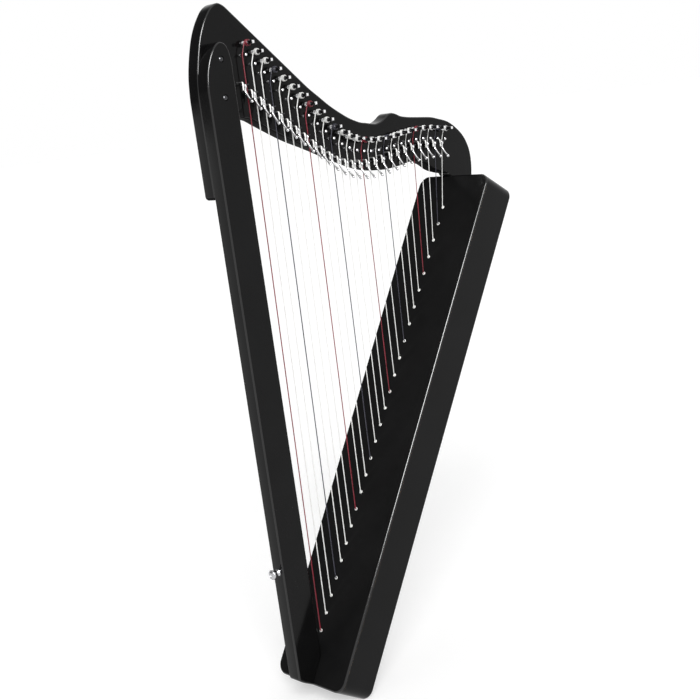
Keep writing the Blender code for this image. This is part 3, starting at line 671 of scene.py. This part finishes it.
def rounded_rectangle(low, high, radius, steps=14):
    """A rectangle's outline with its corners rounded, each in so many steps."""
    corners = [
        (high[0] - radius, high[1] - radius),
        (low[0] + radius, high[1] - radius),
        (low[0] + radius, low[1] + radius),
        (high[0] - radius, low[1] + radius),
    ]
    points = []
    for quarter, (x, y) in enumerate(corners):
        for step in range(steps + 1):
            angle = math.pi / 2 * (quarter + step / steps)
            points.append((x + radius * math.cos(angle), y + radius * math.sin(angle)))
    return points


def rounding(slope):
    """True where a face leans between a board's flat face and its edge."""
    return 0.05 < abs(slope) < 0.98


def sorted_faces(mesh, choose):
    """Gives each face the finish that choose names by its number."""
    for face in mesh.polygons:
        face.material_index = choose(face)
    return mesh


box_line = rounded_rectangle((0, -HALF_WIDTH), (BOX_LENGTH, HALF_WIDTH), BOX_CORNER)
board_seat = BOARD_TOP - BOARD_THICKNESS
drills = bmesh.new()
for index in range(STRINGS):
    bore = [(HOLE_RADIUS, -BOARD_THICKNESS), (HOLE_RADIUS, BOARD_THICKNESS)]
    place = (eyelet_distance(index), STRING_PLANE, board_seat)
    turned(drills, bore, place, (0, 0, 1), HOLE_SIDES)
board = rounded_board(box_line, board_seat, BOARD_TOP, SEAT_EDGE, BOX_EDGE, BOX_EDGE_STEPS)
board = cut_out(board, mesh_of("string_drills", drills))


def board_slot(face):
    """0 for the top face, 2 for the bare underside, 3 for the rounded edge and 1 for the rest."""
    if face.center.z > BOARD_TOP - ON_TOP:
        return 0
    if face.normal.z < -NEARLY_SQUARE:
        return 2
    return 3 if rounding(face.normal.z) else 1


board = onto_box(sorted_faces(board, board_slot))
finishes = [BOARD_BLACK, BLACK, INSIDE_WOOD, EDGE_BLACK]
add_piece("board_with_bores", board, finishes, "frame", "soundboard_lacquer", "soundboard")
print(f"soundboard with {STRINGS} holes")

# %% [markdown]
# ## Side wall
#
# A strip of wood bent round the box, lacquered outside and bare inside. It could be a solid with a
# smaller one cut away, but four rows of points joined in a ring give cleaner corners.

# %% Side wall
inner_line = rounded_rectangle(
    (WALL, WALL - HALF_WIDTH), (BOX_LENGTH - WALL, HALF_WIDTH - WALL), BOX_CORNER - WALL
)
back_seat = BOX_BACK + BACK_THICKNESS

work = bmesh.new()
outside = [(box_line, back_seat), (box_line, board_seat)]
inside = [(inner_line, board_seat), (inner_line, back_seat)]
rings = [[(x, y, z) for x, y in line] for line, z in outside + inside]
bridge_rings(work, rings, capped=False)
for k, face in enumerate(work.faces):
    face.material_index = 0 if k < len(box_line) else 1
wall = onto_box(mesh_of("wall", work))
add_piece("side_wall", wall, [BLACK, INSIDE_WOOD], "frame", "black_lacquer", "soundbox_rim")
print(f"side wall {(board_seat - back_seat) / MM:.0f} mm high")

# %% [markdown]
# ## Back panel and end block
#
# A hand reaches in through four long holes in the back to change a string, so their rims are
# eased: the tool that cuts them is flared at the outside. A block stiffens the lower end.

# %% Back panel and end block
ACCESS_LENGTH, ACCESS_WIDTH = 92 * MM, 46 * MM
ACCESS_FIRST, ACCESS_STEP = 118 * MM, 148 * MM
ACCESS_HOLES = 4
RIM_FLARE = 0.6 * MM
RIMS = [
    (-RIM_FLARE, BOX_BACK - MM),
    (-RIM_FLARE, BOX_BACK - 0.01 * MM),
    (0, BOX_BACK + RIM_FLARE),
    (0, back_seat + MM),
]
slots = bmesh.new()
for k in range(ACCESS_HOLES):
    middle = ACCESS_FIRST + k * ACCESS_STEP
    line = rounded_rectangle(
        (middle - ACCESS_LENGTH / 2, -ACCESS_WIDTH / 2),
        (middle + ACCESS_LENGTH / 2, ACCESS_WIDTH / 2),
        ACCESS_WIDTH / 2 - MM,
    )
    bridge_rings(slots, [[(x, y, z) for x, y in set_in(line, inset)] for inset, z in RIMS])
back = rounded_board(box_line, BOX_BACK, back_seat, BOX_EDGE, SEAT_EDGE, BOX_EDGE_STEPS)
back = cut_out(back, mesh_of("access_slots", slots))
back = onto_box(sorted_faces(back, lambda face: 1 if face.normal.z > NEARLY_SQUARE else 0))
add_piece("back_board", back, [BLACK, INSIDE_WOOD], "frame", "black_lacquer", "back_panel")

BLOCK_CORNER, BLOCK_EDGE = 2 * MM, 0.5 * MM
block_low, block_high = in_box_axes("base_block")
block_line = rounded_rectangle(block_low[:2], block_high[:2], BLOCK_CORNER, 4)
block = rounded_board(block_line, block_low.z, block_high.z, BLOCK_EDGE, BLOCK_EDGE, 2)
add_piece("end_block", onto_box(block), [INSIDE_WOOD], "frame", "bare_wood", "base_block")
print(f"back panel with {ACCESS_HOLES} holes")

# %% [markdown]
# ## Rib and eyelets
#
# A maple rib under the soundboard takes the strings' pull, and an eyelet keeps each from cutting
# the wood. An eyelet is a tube with a rolled lip, so its profile is turned and closed on itself.

# %% Rib and eyelets
RIB_WIDTH, RIB_THICKNESS, RIB_MARGIN, RIB_CORNER = 24 * MM, 5 * MM, 22 * MM, 3 * MM
RIB_GAP = 0.3 * MM
rib_top = board_seat - RIB_GAP
rib_line = rounded_rectangle(
    (FIRST_EYELET - RIB_MARGIN, STRING_PLANE - RIB_WIDTH / 2),
    (eyelet_distance(STRINGS - 1) + RIB_MARGIN, STRING_PLANE + RIB_WIDTH / 2),
    RIB_CORNER,
    4,
)
rib = rounded_board(rib_line, rib_top - RIB_THICKNESS, rib_top, MM, 0.3 * MM, 3)
add_piece("string_rib", onto_box(rib), [RIB_WOOD], "frame", "bare_wood", "strings_on_rib")

EYELET_SIDES = 20
# Radius and height of each ring, in mm
EYELET = [
    (1.42, -2.6), (1.42, 0.0), (2.0, 0.05), (2.2, 0.3), (2.05, 0.6), (1.7, 0.75),
    (1.35, 0.65), (1.15, 0.35), (1.05, -0.1), (1.05, -2.6),
]
eyelets = bmesh.new()
for index in range(STRINGS):
    place = on_box(eyelet_distance(index), STRING_PLANE, BOARD_TOP)
    turn = OUTWARD.to_track_quat("Z", "Y").to_matrix()
    rings = []
    for radius, rise in EYELET:
        circle = ring_points(radius * MM, EYELET_SIDES)
        rings.append([place + turn @ Vector((x, y, rise * MM)) for x, y in circle])
    bridge_rings(eyelets, rings, capped=False)
add_piece("string_eyelets", mesh_of("eyelets", eyelets), [NICKEL], "frame", "chrome")
print(f"rib {(rib_line[0][0] - FIRST_EYELET + RIB_MARGIN) / MM:.0f} mm long, {STRINGS} eyelets")

# %% [markdown]
# ## Strings
#
# Each string is knotted under the rib, leans over its eyelet's lip, and bends round its bridge pin
# towards its tuning pin. A bevelled curve could do this, but swept rings keep their thickness at
# the bends. The turns on a pin move with the pin, so the string ends where it first touches them.

# %% Strings
PIN_RADIUS = 2.5 * MM
COIL_GAP = 0.02 * MM
LIP_RISE, LIP_BEND = 1.2 * MM, 1.4 * MM
KNOT_STEPS = 32
KNOT_SIZE = 0.8


def swept(work, path, radius, sides, slot=0):
    """A round line along a path, its rings carried along without twist."""
    path = [Vector(point) for point in path]
    heading = (path[1] - path[0]).normalized()
    across = heading.orthogonal().normalized()
    rings = []
    for k, here in enumerate(path):
        before, after = path[max(k - 1, 0)], path[min(k + 1, len(path) - 1)]
        ahead = (after - before).normalized()
        across = (across - ahead * across.dot(ahead)).normalized()
        other = ahead.cross(across)
        rings.append([here + across * x + other * y for x, y in ring_points(radius, sides)])
    first_face = len(work.faces)
    bridge_rings(work, rings)
    work.faces.ensure_lookup_table()
    for face in work.faces[first_face:]:
        face.material_index = slot


def bent_path(corners, radius, steps=6):
    """A line through the corners, each inner one rounded to a radius."""
    path = [Vector(corners[0])]
    for before, corner, after in zip(corners, corners[1:], corners[2:]):
        corner = Vector(corner)
        one, two = (Vector(before) - corner).normalized(), (Vector(after) - corner).normalized()
        half = one.angle(two) / 2
        reach = radius / math.tan(half)
        start, end = corner + one * reach, corner + two * reach
        centre = corner + (one + two).normalized() * radius / math.sin(half)
        for step in range(steps + 1):
            way = (start - centre).lerp(end - centre, step / steps).normalized()
            path.append(centre + way * radius)
    path.append(Vector(corners[-1]))
    return path


def touch_angle(coil):
    """The angle round a tuning pin at which its string first touches it."""
    reach = math.hypot(PIN_ASIDE, PIN_ABOVE)
    return math.atan2(-PIN_ABOVE, -PIN_ASIDE) % (2 * math.pi) - math.acos(coil / reach)


def coil_radius(index):
    """Distance of the wound string's middle line from its tuning pin's axis."""
    return PIN_RADIUS + string_radius(index) + COIL_GAP


def knot(work, place, radius):
    """The stopper knot that holds a string under the rib."""
    loops = []
    for step in range(KNOT_STEPS + 1):
        t = 2 * math.pi * step / KNOT_STEPS
        x, y = math.sin(t) + 2 * math.sin(2 * t), math.cos(t) - 2 * math.cos(2 * t)
        loop = Vector((x, y, -math.sin(3 * t))) * radius * KNOT_SIZE
        loops.append(on_box(*(Vector(place) + loop)))
    swept(work, loops, radius, 6)


threads = {note: bmesh.new() for note in NYLON}
for index in range(STRINGS):
    work, radius = threads[string_note(index)], string_radius(index)
    distance = eyelet_distance(index)
    under_rib = rib_top - RIB_THICKNESS - 2.2 * radius
    knot(work, (distance, STRING_PLANE, under_rib), radius)
    tail = on_box(distance - 5 * MM, STRING_PLANE + 1.5 * MM, under_rib - 2 * MM)
    root = on_box(distance, STRING_PLANE, under_rib)
    lip = on_box(distance, STRING_PLANE, BOARD_TOP + LIP_RISE)
    top, pin = bridge_place(index), pin_place(index)
    coil = coil_radius(index)
    angle = touch_angle(coil)
    touch = Vector((pin.x + coil * math.cos(angle), STRING_PLANE, pin.z + coil * math.sin(angle)))
    swept(work, bent_path([tail, root, lip, top, touch], LIP_BEND), radius, 10)
for note, work in threads.items():
    name = f"strings_{note}"
    add_piece(name, mesh_of(name, work), [NYLON[note]], "frame", "nylon_string", "strings_on_rib")
print(f"{STRINGS} strings in {len(threads)} colours")

# %% [markdown]
# ## Neck board
#
# The neck carries all the pins, and its tongue is lapped behind the pillar. It is bored for the
# tuning pins. What faces down is satin, because gloss there would mirror the white floor.

# %% Neck board
seam = NECK_FACE
BOARD_EDGE = 2 * MM
BORE_RADIUS = 2.7 * MM
FACES_DOWN = -0.4
bores = bmesh.new()
for index in range(STRINGS):
    pin = pin_place(index)
    bore = [(BORE_RADIUS, -15 * MM), (BORE_RADIUS, 5 * MM)]
    turned(bores, bore, (pin.x, NECK_FACE, pin.z), (0, -1, 0))
neck = stand_up(rounded_board(neck_line, -neck_high.y, -seam, BOARD_EDGE, BOARD_EDGE, 6))
neck = cut_out(neck, mesh_of("pin_bores", bores))


def neck_slot(face):
    """1 for what faces down, 2 for the rounded edges and 0 for the rest."""
    if face.normal.z < FACES_DOWN:
        return 1
    return 2 if rounding(face.normal.y) else 0


sorted_faces(neck, neck_slot)
finishes = [BLACK, SATIN_BLACK, EDGE_BLACK]
add_piece("neck_board", neck, finishes, "frame", "black_lacquer", "neck")
print(f"neck board with {STRINGS} bores")

# %% [markdown]
# ## Bridge pins
#
# A pin below each tuning pin sets where its string starts to sound. A cylinder would do at a
# distance, but a turned collar and head catch the light as real ones do. The shank between them
# is dark steel, painted as shade.

# %% Bridge pins
def painted(work, slot, wanted):
    """Gives a slot to the faces whose middle is wanted."""
    for face in work.faces:
        if wanted(face.calc_center_median()):
            face.material_index = slot


# Radius and height of each ring above the neck's face, in mm
BRIDGE_PIN = [
    (1.2, -3.0), (1.2, 0.0), (1.6, 0.05), (1.7, 0.2), (1.7, 1.2), (1.55, 1.6), (1.25, 1.9),
    (1.15, 2.4), (1.15, 9.1), (1.25, 9.5), (1.55, 9.75), (1.7, 10.1), (1.68, 10.6), (1.5, 11.05),
    (1.1, 11.35), (0.5, 11.5),
]
GROOVE_RADIUS = 1.12 * MM
GROOVE_FROM, GROOVE_TO = 1.7 * MM, 9.3 * MM
bridge_pins = bmesh.new()
for index in range(STRINGS):
    top = bridge_place(index)
    beside = string_radius(index) + GROOVE_RADIUS
    profile = [(radius * MM, out * MM) for radius, out in BRIDGE_PIN]
    turned(bridge_pins, profile, (top.x + beside, NECK_FACE, top.z), (0, -1, 0), 20)
# The grooved shank gets dark steel, painted as shade
painted(bridge_pins, 1, lambda middle: GROOVE_FROM < NECK_FACE - middle.y < GROOVE_TO)
pins = mesh_of("bridge_pins", bridge_pins)
add_piece("bridge_pins", pins, [CHROME, DARK_STEEL_AND_SHADE], "frame", "chrome", "neck")
print(f"{STRINGS} bridge pins")

# %% [markdown]
# ## Pillar and its screws
#
# A straight board with a round top, in front of the neck's tongue. The recesses of its two screws
# are really cut, so that the rims catch the light, and the screws' caps are low domes.

# %% Pillar and screws
near_face = pillar_low.y
SEAM_EDGE = 0.6 * MM
pillar = stand_up(rounded_board(pillar_line, -seam, -near_face, SEAM_EDGE, BOARD_EDGE, 6))
top_edge = pillar_high.z
PILLAR_TILT = math.radians(0.83)
PILLAR_GAP, PILLAR_WIDTH = 16 * MM, 39 * MM
SCREW_DROPS = [(19 * MM, 5 * MM), (61.5 * MM, 3 * MM)]
RECESS = [(3.5, -2.6), (3.5, -0.3), (3.65, 0.0), (3.65, 1.0)]
CAP_ANGLES = [math.radians(angle) for angle in range(54, 0, -6)]
DOME = 4
SCREW_CAP = [(3.25, -2.6)] + [(DOME * math.sin(a), DOME * math.cos(a) - 3.3) for a in CAP_ANGLES]
recesses, caps = bmesh.new(), bmesh.new()
first_string = on_box(FIRST_EYELET, 0, BOARD_TOP)
for drop, shift in SCREW_DROPS:
    height = top_edge - first_string.z - drop
    x = first_string.x - PILLAR_GAP - PILLAR_WIDTH / 2 - math.tan(PILLAR_TILT) * height + shift
    for work, profile in ((recesses, RECESS), (caps, SCREW_CAP)):
        steps = [(radius * MM, out * MM) for radius, out in profile]
        turned(work, steps, (x, near_face, top_edge - drop), (0, -1, 0), 32)
pillar = cut_out(pillar, mesh_of("screw_recesses", recesses))
sorted_faces(pillar, lambda face: 1 if rounding(face.normal.y) else 0)
add_piece("pillar_board", pillar, [BLACK, EDGE_BLACK], "frame", "black_lacquer", "pillar")
add_piece("screw_caps", mesh_of("screw_caps", caps), [DARK_STEEL_AND_SHADE], "frame", "chrome")
print(f"pillar with {len(SCREW_DROPS)} screws")

# %% [markdown]
# ## Strap button
#
# A turned button for a strap, screwed into the pillar's front edge near its foot. One lathe profile
# gives its seat, waist and dished head.

# %% Strap button
BUTTON = [
    (1.5, -12.0), (1.5, 0.0), (4.5, 0.0), (4.6, 0.4), (4.3, 0.9), (3.5, 1.7), (3.05, 2.8),
    (3.0, 4.2), (3.3, 5.6), (4.1, 6.8), (5.3, 7.7), (5.3, 8.1), (6.0, 8.3), (6.2, 9.0),
    (6.15, 9.6), (5.8, 10.2), (5.2, 10.5), (5.0, 10.3), (4.5, 10.3), (4.2, 10.6), (3.6, 11.1),
    (2.8, 11.4), (2.2, 11.4), (1.9, 10.9), (0.8, 10.8),
]
PACKED_HEAD, PACKED_SHANK = 11.5 * MM, 14 * MM
button_low, button_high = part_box("strap_button")
press = Vector((-math.cos(PILLAR_TILT), 0, -math.sin(PILLAR_TILT)))
button_mid = (button_low + button_high) / 2
button_seat = button_mid - press * (PACKED_HEAD - PACKED_SHANK) / 2
button = bmesh.new()
turned(button, [(radius * MM, out * MM) for radius, out in BUTTON], button_seat, press, 40)
mesh = mesh_of("turned_button", button)
add_piece("turned_button", mesh, [BUTTON_STEEL], "frame", "chrome", "strap_button")
print("strap button at height", round(button_seat.z, 3))

# %% [markdown]
# ## Tuning pins
#
# A steel rod, threaded where it leaves the wood and milled square at its outer end for the key.
# Equal rings let the round shaft run into the square without a seam. The string is wound on in
# three close turns and tucked into the pin.

# %% Tuning pins with their windings
# Radii and distances from the neck's face in mm, outwards positive
SHAFT, THREAD_ROOT = 2.5, 2.36
THREADS, FIRST_THREAD, THREAD_STEP = 6, 0.4, 0.7
SQUARE_HALF, SQUARE_CORNER = 1.8, 2.45
# Between these distances the pin is dark steel, painted as shade; its threads and tip stay chrome
DARK_FROM, DARK_TO = 4 * MM, 18.1 * MM
TURNS, STEPS_PER_TURN = 3, 24
TURN_GAP = 0.06 * MM
CORNER_ANGLE = math.degrees(math.acos(SQUARE_HALF / SQUARE_CORNER))
QUARTER = [0, 15, 30, CORNER_ANGLE, 90 - CORNER_ANGLE, 60, 75]
PIN_ANGLES = [math.radians(quarter * 90 + angle) for quarter in range(4) for angle in QUARTER]


def pin_ring(radius, out, half=math.inf):
    """A ring of the pin, cut square where half the square's side is given."""
    ring = []
    for a in PIN_ANGLES:
        reach = min(radius, half / max(abs(math.cos(a)), abs(math.sin(a))))
        ring.append(Vector((reach * math.cos(a), -out, reach * math.sin(a))) * MM)
    return ring


def tuning_pin_mesh(index):
    """The pin about its own axis, with its string wound on."""
    rings = [pin_ring(2.2, -13.4), pin_ring(SHAFT, -12.6), pin_ring(SHAFT, 0)]
    for thread in range(THREADS):
        out = FIRST_THREAD + THREAD_STEP * thread
        rings += [pin_ring(SHAFT, out), pin_ring(THREAD_ROOT, out + 0.2)]
        rings.append(pin_ring(SHAFT, out + 0.4))
    rings += [pin_ring(SHAFT, 10.6), pin_ring(SHAFT, 11.2, 1.84)]
    rings += [pin_ring(SQUARE_CORNER, 18.3, SQUARE_HALF), pin_ring(1.95, 19.0, 1.45)]
    work = bmesh.new()
    bridge_rings(work, rings)
    painted(work, 2, lambda middle: DARK_FROM < -middle.y < DARK_TO)
    radius, coil = string_radius(index), coil_radius(index)
    first = touch_angle(coil)
    pitch = 2 * radius + TURN_GAP
    path = []
    for step in range(TURNS * STEPS_PER_TURN + 1):
        angle = first - 2 * math.pi * step / STEPS_PER_TURN
        out = NECK_FACE - STRING_PLANE + pitch * step / STEPS_PER_TURN
        path.append(Vector((coil * math.cos(angle), -out, coil * math.sin(angle))))
    for inwards in (0.97, 0.85, 0.6):
        angle -= 0.2
        reach = coil * inwards
        path.append(Vector((reach * math.cos(angle), -out, reach * math.sin(angle))))
    swept(work, path, radius, 8, 1)
    return mesh_of("tuning_pin", work)


for index in range(STRINGS):
    name = f"tuning_pin_{index + 1:02d}"
    mesh = tuning_pin_mesh(index)
    mesh.transform(Matrix.Translation(pin_place(index)))
    finishes = [CHROME, NYLON[string_note(index)], DARK_STEEL_AND_SHADE]
    add_piece(name + "_wound", mesh, finishes, name, "chrome", name)
print(f"{STRINGS} tuning pins")

# %% [markdown]
# ## Sharping levers
#
# A lever is punched from plate: a hub, a cranked arm and a small ring to flick with a finger. A
# short bar presses on the string when the lever is turned up. The outline is made of arcs and a few
# points, which stay exact at any size.

# %% Shape of a lever
LEVER_THICKNESS = 2 * MM
HUB_SIDE = 1.45 * MM
CAM_ORBIT, CAM_RADIUS, CAM_REACH = 1.9 * MM, 0.75 * MM, 8.95 * MM
PIVOT_RADIUS = 0.8 * MM
RING_PLACE, RING_HOLE = (9.4, -17.4), 0.85 * MM
PIVOT_PLAY = 0.15 * MM
LEVER_FINISHES = [CHROME, PAINTED_SHADE_STEEL, DARK_STEEL_AND_SHADE]


def arc(x, y, radius, start, end, steps):
    """Points on a circle from one angle to another, in degrees."""
    points = []
    for k in range(steps + 1):
        angle = math.radians(start + (end - start) * k / steps)
        points.append((x + radius * math.cos(angle), y + radius * math.sin(angle)))
    return points


def painted_shade_sides(name, work, profile, place):
    """Adds a turned bar or pivot: finish 0 on edges, 1 on flat sides, 2 on what is added."""
    work.faces.ensure_lookup_table()
    work.normal_update()
    # The flat sides get finish 1, a darker steel painted as a reflection of a dark room
    for face in work.faces:
        face.material_index = 1 if abs(face.normal.x) > 0.8 else 0
    stamped = len(work.faces)
    turned(work, profile, place, (1, 0, 0), 16)
    work.faces.ensure_lookup_table()
    # What is added gets finish 2, dark steel painted as shade
    for face in work.faces[stamped:]:
        face.material_index = 2
    return mesh_of(name, work)


def lever_mesh():
    """The lever in its own place about the pivot: outwards is -Y, and its flat side faces X."""
    hub = arc(0, 0, 2.8, -52, 232, 20)
    near_side = [
        (-1.15, -3.6), (-0.95, -5.2), (0.1, -7.6), (1.9, -10.4), (3.6, -12.6), (5.6, -14.7),
    ]
    ring = arc(*RING_PLACE, 1.8, 196, 434, 16)
    far_side = [(6.9, -13.6), (5.2, -11.6), (3.5, -9.2), (1.9, -6.6), (1.25, -4.9), (1.2, -3.6)]
    outline = [(x * MM, y * MM) for x, y in [*hub, *near_side, *ring, *far_side]]
    plate = rounded_board(outline, 0, LEVER_THICKNESS, 0.4 * MM, 0.4 * MM, 3)
    holes = bmesh.new()
    ring_middle = (RING_PLACE[0] * MM, RING_PLACE[1] * MM, 0)
    for radius, place in ((PIVOT_RADIUS + PIVOT_PLAY, (0, 0, 0)), (RING_HOLE, ring_middle)):
        turned(holes, [(radius, -MM), (radius, 3 * MM)], place, (0, 0, 1), 20)
    plate = cut_out(plate, mesh_of("lever_holes", holes))
    work = bmesh.new()
    work.from_mesh(plate)
    upright = Matrix(((0, 0, 1, HUB_SIDE), (-1, 0, 0, 0), (0, 1, 0, 0), (0, 0, 0, 1)))
    bmesh.ops.transform(work, verts=work.verts, matrix=upright)
    start = HUB_SIDE + 0.6 * LEVER_THICKNESS
    bar = CAM_REACH - start
    profile = [
        (CAM_RADIUS, 0),
        (CAM_RADIUS, bar - 0.3 * MM),
        (CAM_RADIUS - 0.12 * MM, bar - 0.08 * MM),
        (0.4 * MM, bar),
    ]
    return painted_shade_sides("lever", work, profile, (start, 0, CAM_ORBIT))


lever_shape = lever_mesh()
print(f"a lever has {len(lever_shape.polygons)} faces")

# %% [markdown]
# ## Lever brackets
#
# A bracket bent from strip stands out over each string and carries the lever on a riveted pin. A
# modifier could bend a strip. Drawing it from the side, bend and all, is simpler and exact.

# %% Brackets, and all levers in place
BRACKET_WIDTH, BRACKET_STOCK = 2.2 * MM, 1.6 * MM
BRACKET_FINISHES = [NICKEL, PAINTED_SHADE_STEEL, DARK_STEEL_AND_SHADE]


def lever_place(index):
    return Vector(JOINTS[f"sharping_{index + 1:02d}"]["pos_m"])


def bracket_mesh():
    """The bent strip with its riveted pivot pin."""
    width, stock = BRACKET_WIDTH, BRACKET_STOCK
    pivot_out = NECK_FACE - lever_place(0).y
    out, rise, fall = pivot_out + stock / 2, 5.5 * MM, 4.2 * MM
    sunk, chamfer, bend = 1.2 * MM, 0.4 * MM, 2.2 * MM
    outer = [
        (-sunk, rise),
        *arc(out - bend, rise - bend, bend, 90, 0, 6),
        (out, -fall + MM),
        (out - chamfer, -fall),
    ]
    inner = [
        (out - stock + chamfer, -fall),
        (out - stock, -fall + MM),
        *arc(out - bend, rise - bend, bend - stock, 0, 90, 6),
        (-sunk, rise - stock),
    ]
    strip = rounded_board([*outer, *inner], -width / 2, width / 2, 0.25 * MM, 0.25 * MM, 2)
    strip.transform(Matrix(((0, 0, 1, 0), (-1, 0, 0, pivot_out), (0, 1, 0, 0), (0, 0, 0, 1))))
    work = bmesh.new()
    work.from_mesh(strip)
    end = HUB_SIDE + LEVER_THICKNESS + 0.35 * MM
    profile = [
        (0.5 * MM, -width / 2 - 0.5 * MM),
        (1.0 * MM, -width / 2 - 0.3 * MM),
        (1.2 * MM, -width / 2),
        (PIVOT_RADIUS, -width / 2),
        (PIVOT_RADIUS, end - 0.25 * MM),
        (0.6 * MM, end),
    ]
    return painted_shade_sides("bracket", work, profile, (0, 0, 0))


bracket_shape = bracket_mesh()
brackets = bmesh.new()
for index in range(STRINGS):
    place = lever_place(index)
    copy = bracket_shape.copy()
    copy.transform(Matrix.Translation(place))
    brackets.from_mesh(copy)
    name = f"lever_{index + 1:02d}"
    mesh = lever_shape.copy()
    mesh.transform(Matrix.Translation(place))
    add_piece(name + "_arm", mesh, LEVER_FINISHES, name, "chrome", name)
mesh = mesh_of("lever_brackets", brackets)
add_piece("lever_brackets", mesh, BRACKET_FINISHES, "frame", "chrome", "neck")
print(f"{STRINGS} levers and brackets")

# %% [markdown]
# ## Floor
#
# A pale floor keeps the harp's shadow. It glows to look white, but only for the camera and in shiny
# surfaces: light from below would wash out the neck's underside.

# %% Floor
FLOOR_SIDE, FLOOR_GLOW = 30.0, 0.5


def maths(tree, operation, one, two):
    """One step of arithmetic on two numbers or sockets, kept between 0 and 1."""
    node = add_node(tree, "Math", {0: one, 1: two})
    node.operation = operation
    node.use_clamp = True
    return node.outputs["Value"]


def shiny_rays(tree, rays):
    """1 where a shiny or clear surface is looking, 0 elsewhere."""
    glossy, clear = rays.outputs["Is Glossy Ray"], rays.outputs["Is Transmission Ray"]
    return maths(tree, "MAXIMUM", glossy, clear)


def seen_directly(tree):
    """1 for the camera and for shiny or clear surfaces, 0 for the light on the harp."""
    rays = tree.nodes.new("ShaderNodeLightPath")
    return maths(tree, "MAXIMUM", rays.outputs["Is Camera Ray"], shiny_rays(tree, rays))


harp_low, harp_high = cad_box
work = bmesh.new()
corners = [(x * FLOOR_SIDE, y * FLOOR_SIDE) for x, y in ((-1, -1), (1, -1), (1, 1), (-1, 1))]
work.faces.new([work.verts.new((x, y, harp_low.z)) for x, y in corners])
floor = put("floor", mesh_of("floor", work))
finish, tree, shader = new_finish("pale_floor")
specks = noise(tree, object_space(tree), scale=40, detail=3, roughness=0.6)
fill(tree, shader, {
    "Base Color": blended(tree, specks, (0.58, 0.58, 0.58), (0.6, 0.6, 0.6)),
    "Roughness": 0.9,
    "Specular IOR Level": 0.0,
    "Emission Color": (1, 1, 1, 1),
    "Emission Strength": maths(tree, "MULTIPLY", seen_directly(tree), FLOOR_GLOW),
})
floor.data.materials.append(finish)
floor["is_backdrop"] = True
print("floor at z", round(harp_low.z, 4))

# %% [markdown]
# ## White backdrop
#
# A white room would also show in the black lacquer. So the backdrop is white, but dim in shiny
# surfaces round the one way that the soundboard mirrors.

# %% Backdrop
ROOM_GLOW = 0.5
ROOM_SHINE = 0.12
DIM_FROM, DIM_TO = 0.62, 0.88
MIRRORED_WAY = Vector((-0.46, 0.73, 0.5))
world = bpy.data.worlds.new("white_backdrop")
bpy.context.scene.world = world
world.use_nodes = True
tree = world.node_tree
where = tree.nodes.new("ShaderNodeTexCoord")
near = tree.nodes.new("ShaderNodeVectorMath")
near.operation = "DOT_PRODUCT"
fill(tree, near, {0: where.outputs["Generated"], 1: MIRRORED_WAY.normalized()})
levels = {"From Min": DIM_FROM, "From Max": DIM_TO, "To Min": 1.0, "To Max": ROOM_SHINE}
falling = add_node(tree, "MapRange", {"Value": near.outputs["Value"], **levels})
rays = tree.nodes.new("ShaderNodeLightPath")
mirrored = maths(tree, "MULTIPLY", shiny_rays(tree, rays), falling.outputs["Result"])
not_seen = maths(tree, "SUBTRACT", 1.0, seen_directly(tree))
unseen = maths(tree, "MULTIPLY", not_seen, ROOM_GLOW)
shown = maths(tree, "MAXIMUM", rays.outputs["Is Camera Ray"], mirrored)
strength = maths(tree, "MAXIMUM", shown, unseen)
fill(tree, tree.nodes["Background"], {"Color": (1, 1, 1, 1), "Strength": strength})
print(f"backdrop dims to {ROOM_SHINE} in shiny surfaces")

# %% [markdown]
# ## Lamps
#
# A broad soft sun lights the harp. One lamp could do all, but a strong one would whiten the
# soundboard, so a weak softbox, seen only in shiny surfaces, draws the highlights on the edges.

# %% Lamps
SUN_STRENGTH, SUN_SPREAD = 2.4, math.radians(25)
SUN_WAY = Vector((0.525, 0.657, -0.6))
SOFTBOX_WAY, SOFTBOX_DISTANCE = Vector((-0.525, -0.657, 0.5)), 2.4
SOFTBOX_SIZE, SOFTBOX_STRENGTH = (0.8, 1.2), 20

sun = bpy.data.lights.new("soft_sun", "SUN")
sun.energy = SUN_STRENGTH
sun.angle = SUN_SPREAD
put("soft_sun", sun).rotation_euler = SUN_WAY.to_track_quat("-Z", "Y").to_euler()

middle = (harp_low + harp_high) / 2
place = middle + SOFTBOX_WAY * SOFTBOX_DISTANCE
light = bpy.data.lights.new("edge_softbox", "AREA")
light.shape = "RECTANGLE"
light.size, light.size_y = SOFTBOX_SIZE
light.energy = SOFTBOX_STRENGTH * SOFTBOX_SIZE[0] * SOFTBOX_SIZE[1] * math.pi
softbox = put("edge_softbox", light)
softbox.location = place
softbox.rotation_euler = (middle - place).to_track_quat("-Z", "Y").to_euler()
softbox.visible_camera = False
softbox.visible_diffuse = False
print("sun strength", SUN_STRENGTH, "and softbox strength", SOFTBOX_STRENGTH)

# %% [markdown]
# ## Camera
#
# It looks at the harp from the left, a little from above. A tracking constraint could aim it, but
# its own axes fix the tilt as well.

# %% Camera
CAMERA_RIGHT = Vector((0.7238, -0.6789, -0.1236))
CAMERA_UP = Vector((0.2215, 0.0590, 0.9735))
CAMERA_PLACE = (-0.92931, -1.17112, 0.71462)
eye = bpy.data.cameras.new("camera")
eye.lens = 65.88
eye.sensor_width = 36
eye.dof.use_dof = False
camera = put("camera", eye)
facing = Matrix((CAMERA_RIGHT, CAMERA_UP, CAMERA_RIGHT.cross(CAMERA_UP))).transposed()
camera.matrix_world = Matrix.Translation(CAMERA_PLACE) @ facing.to_4x4()
bpy.context.scene.camera = camera
bpy.context.scene.view_settings.view_transform = "Standard"
print("camera at", CAMERA_PLACE)

# %% [markdown]
# ## Check the size and finish
#
# The dressed harp's box is compared with the imported harp's box, and the offset of each corner
# is printed in millimetres.

# %% Finish
shown_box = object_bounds()
for name, shown, packed in zip(("low", "high"), shown_box, cad_box):
    off = [round((a - b) / MM, 2) for a, b in zip(shown, packed)]
    print(name, "corner", off, "mm from the packed harp")
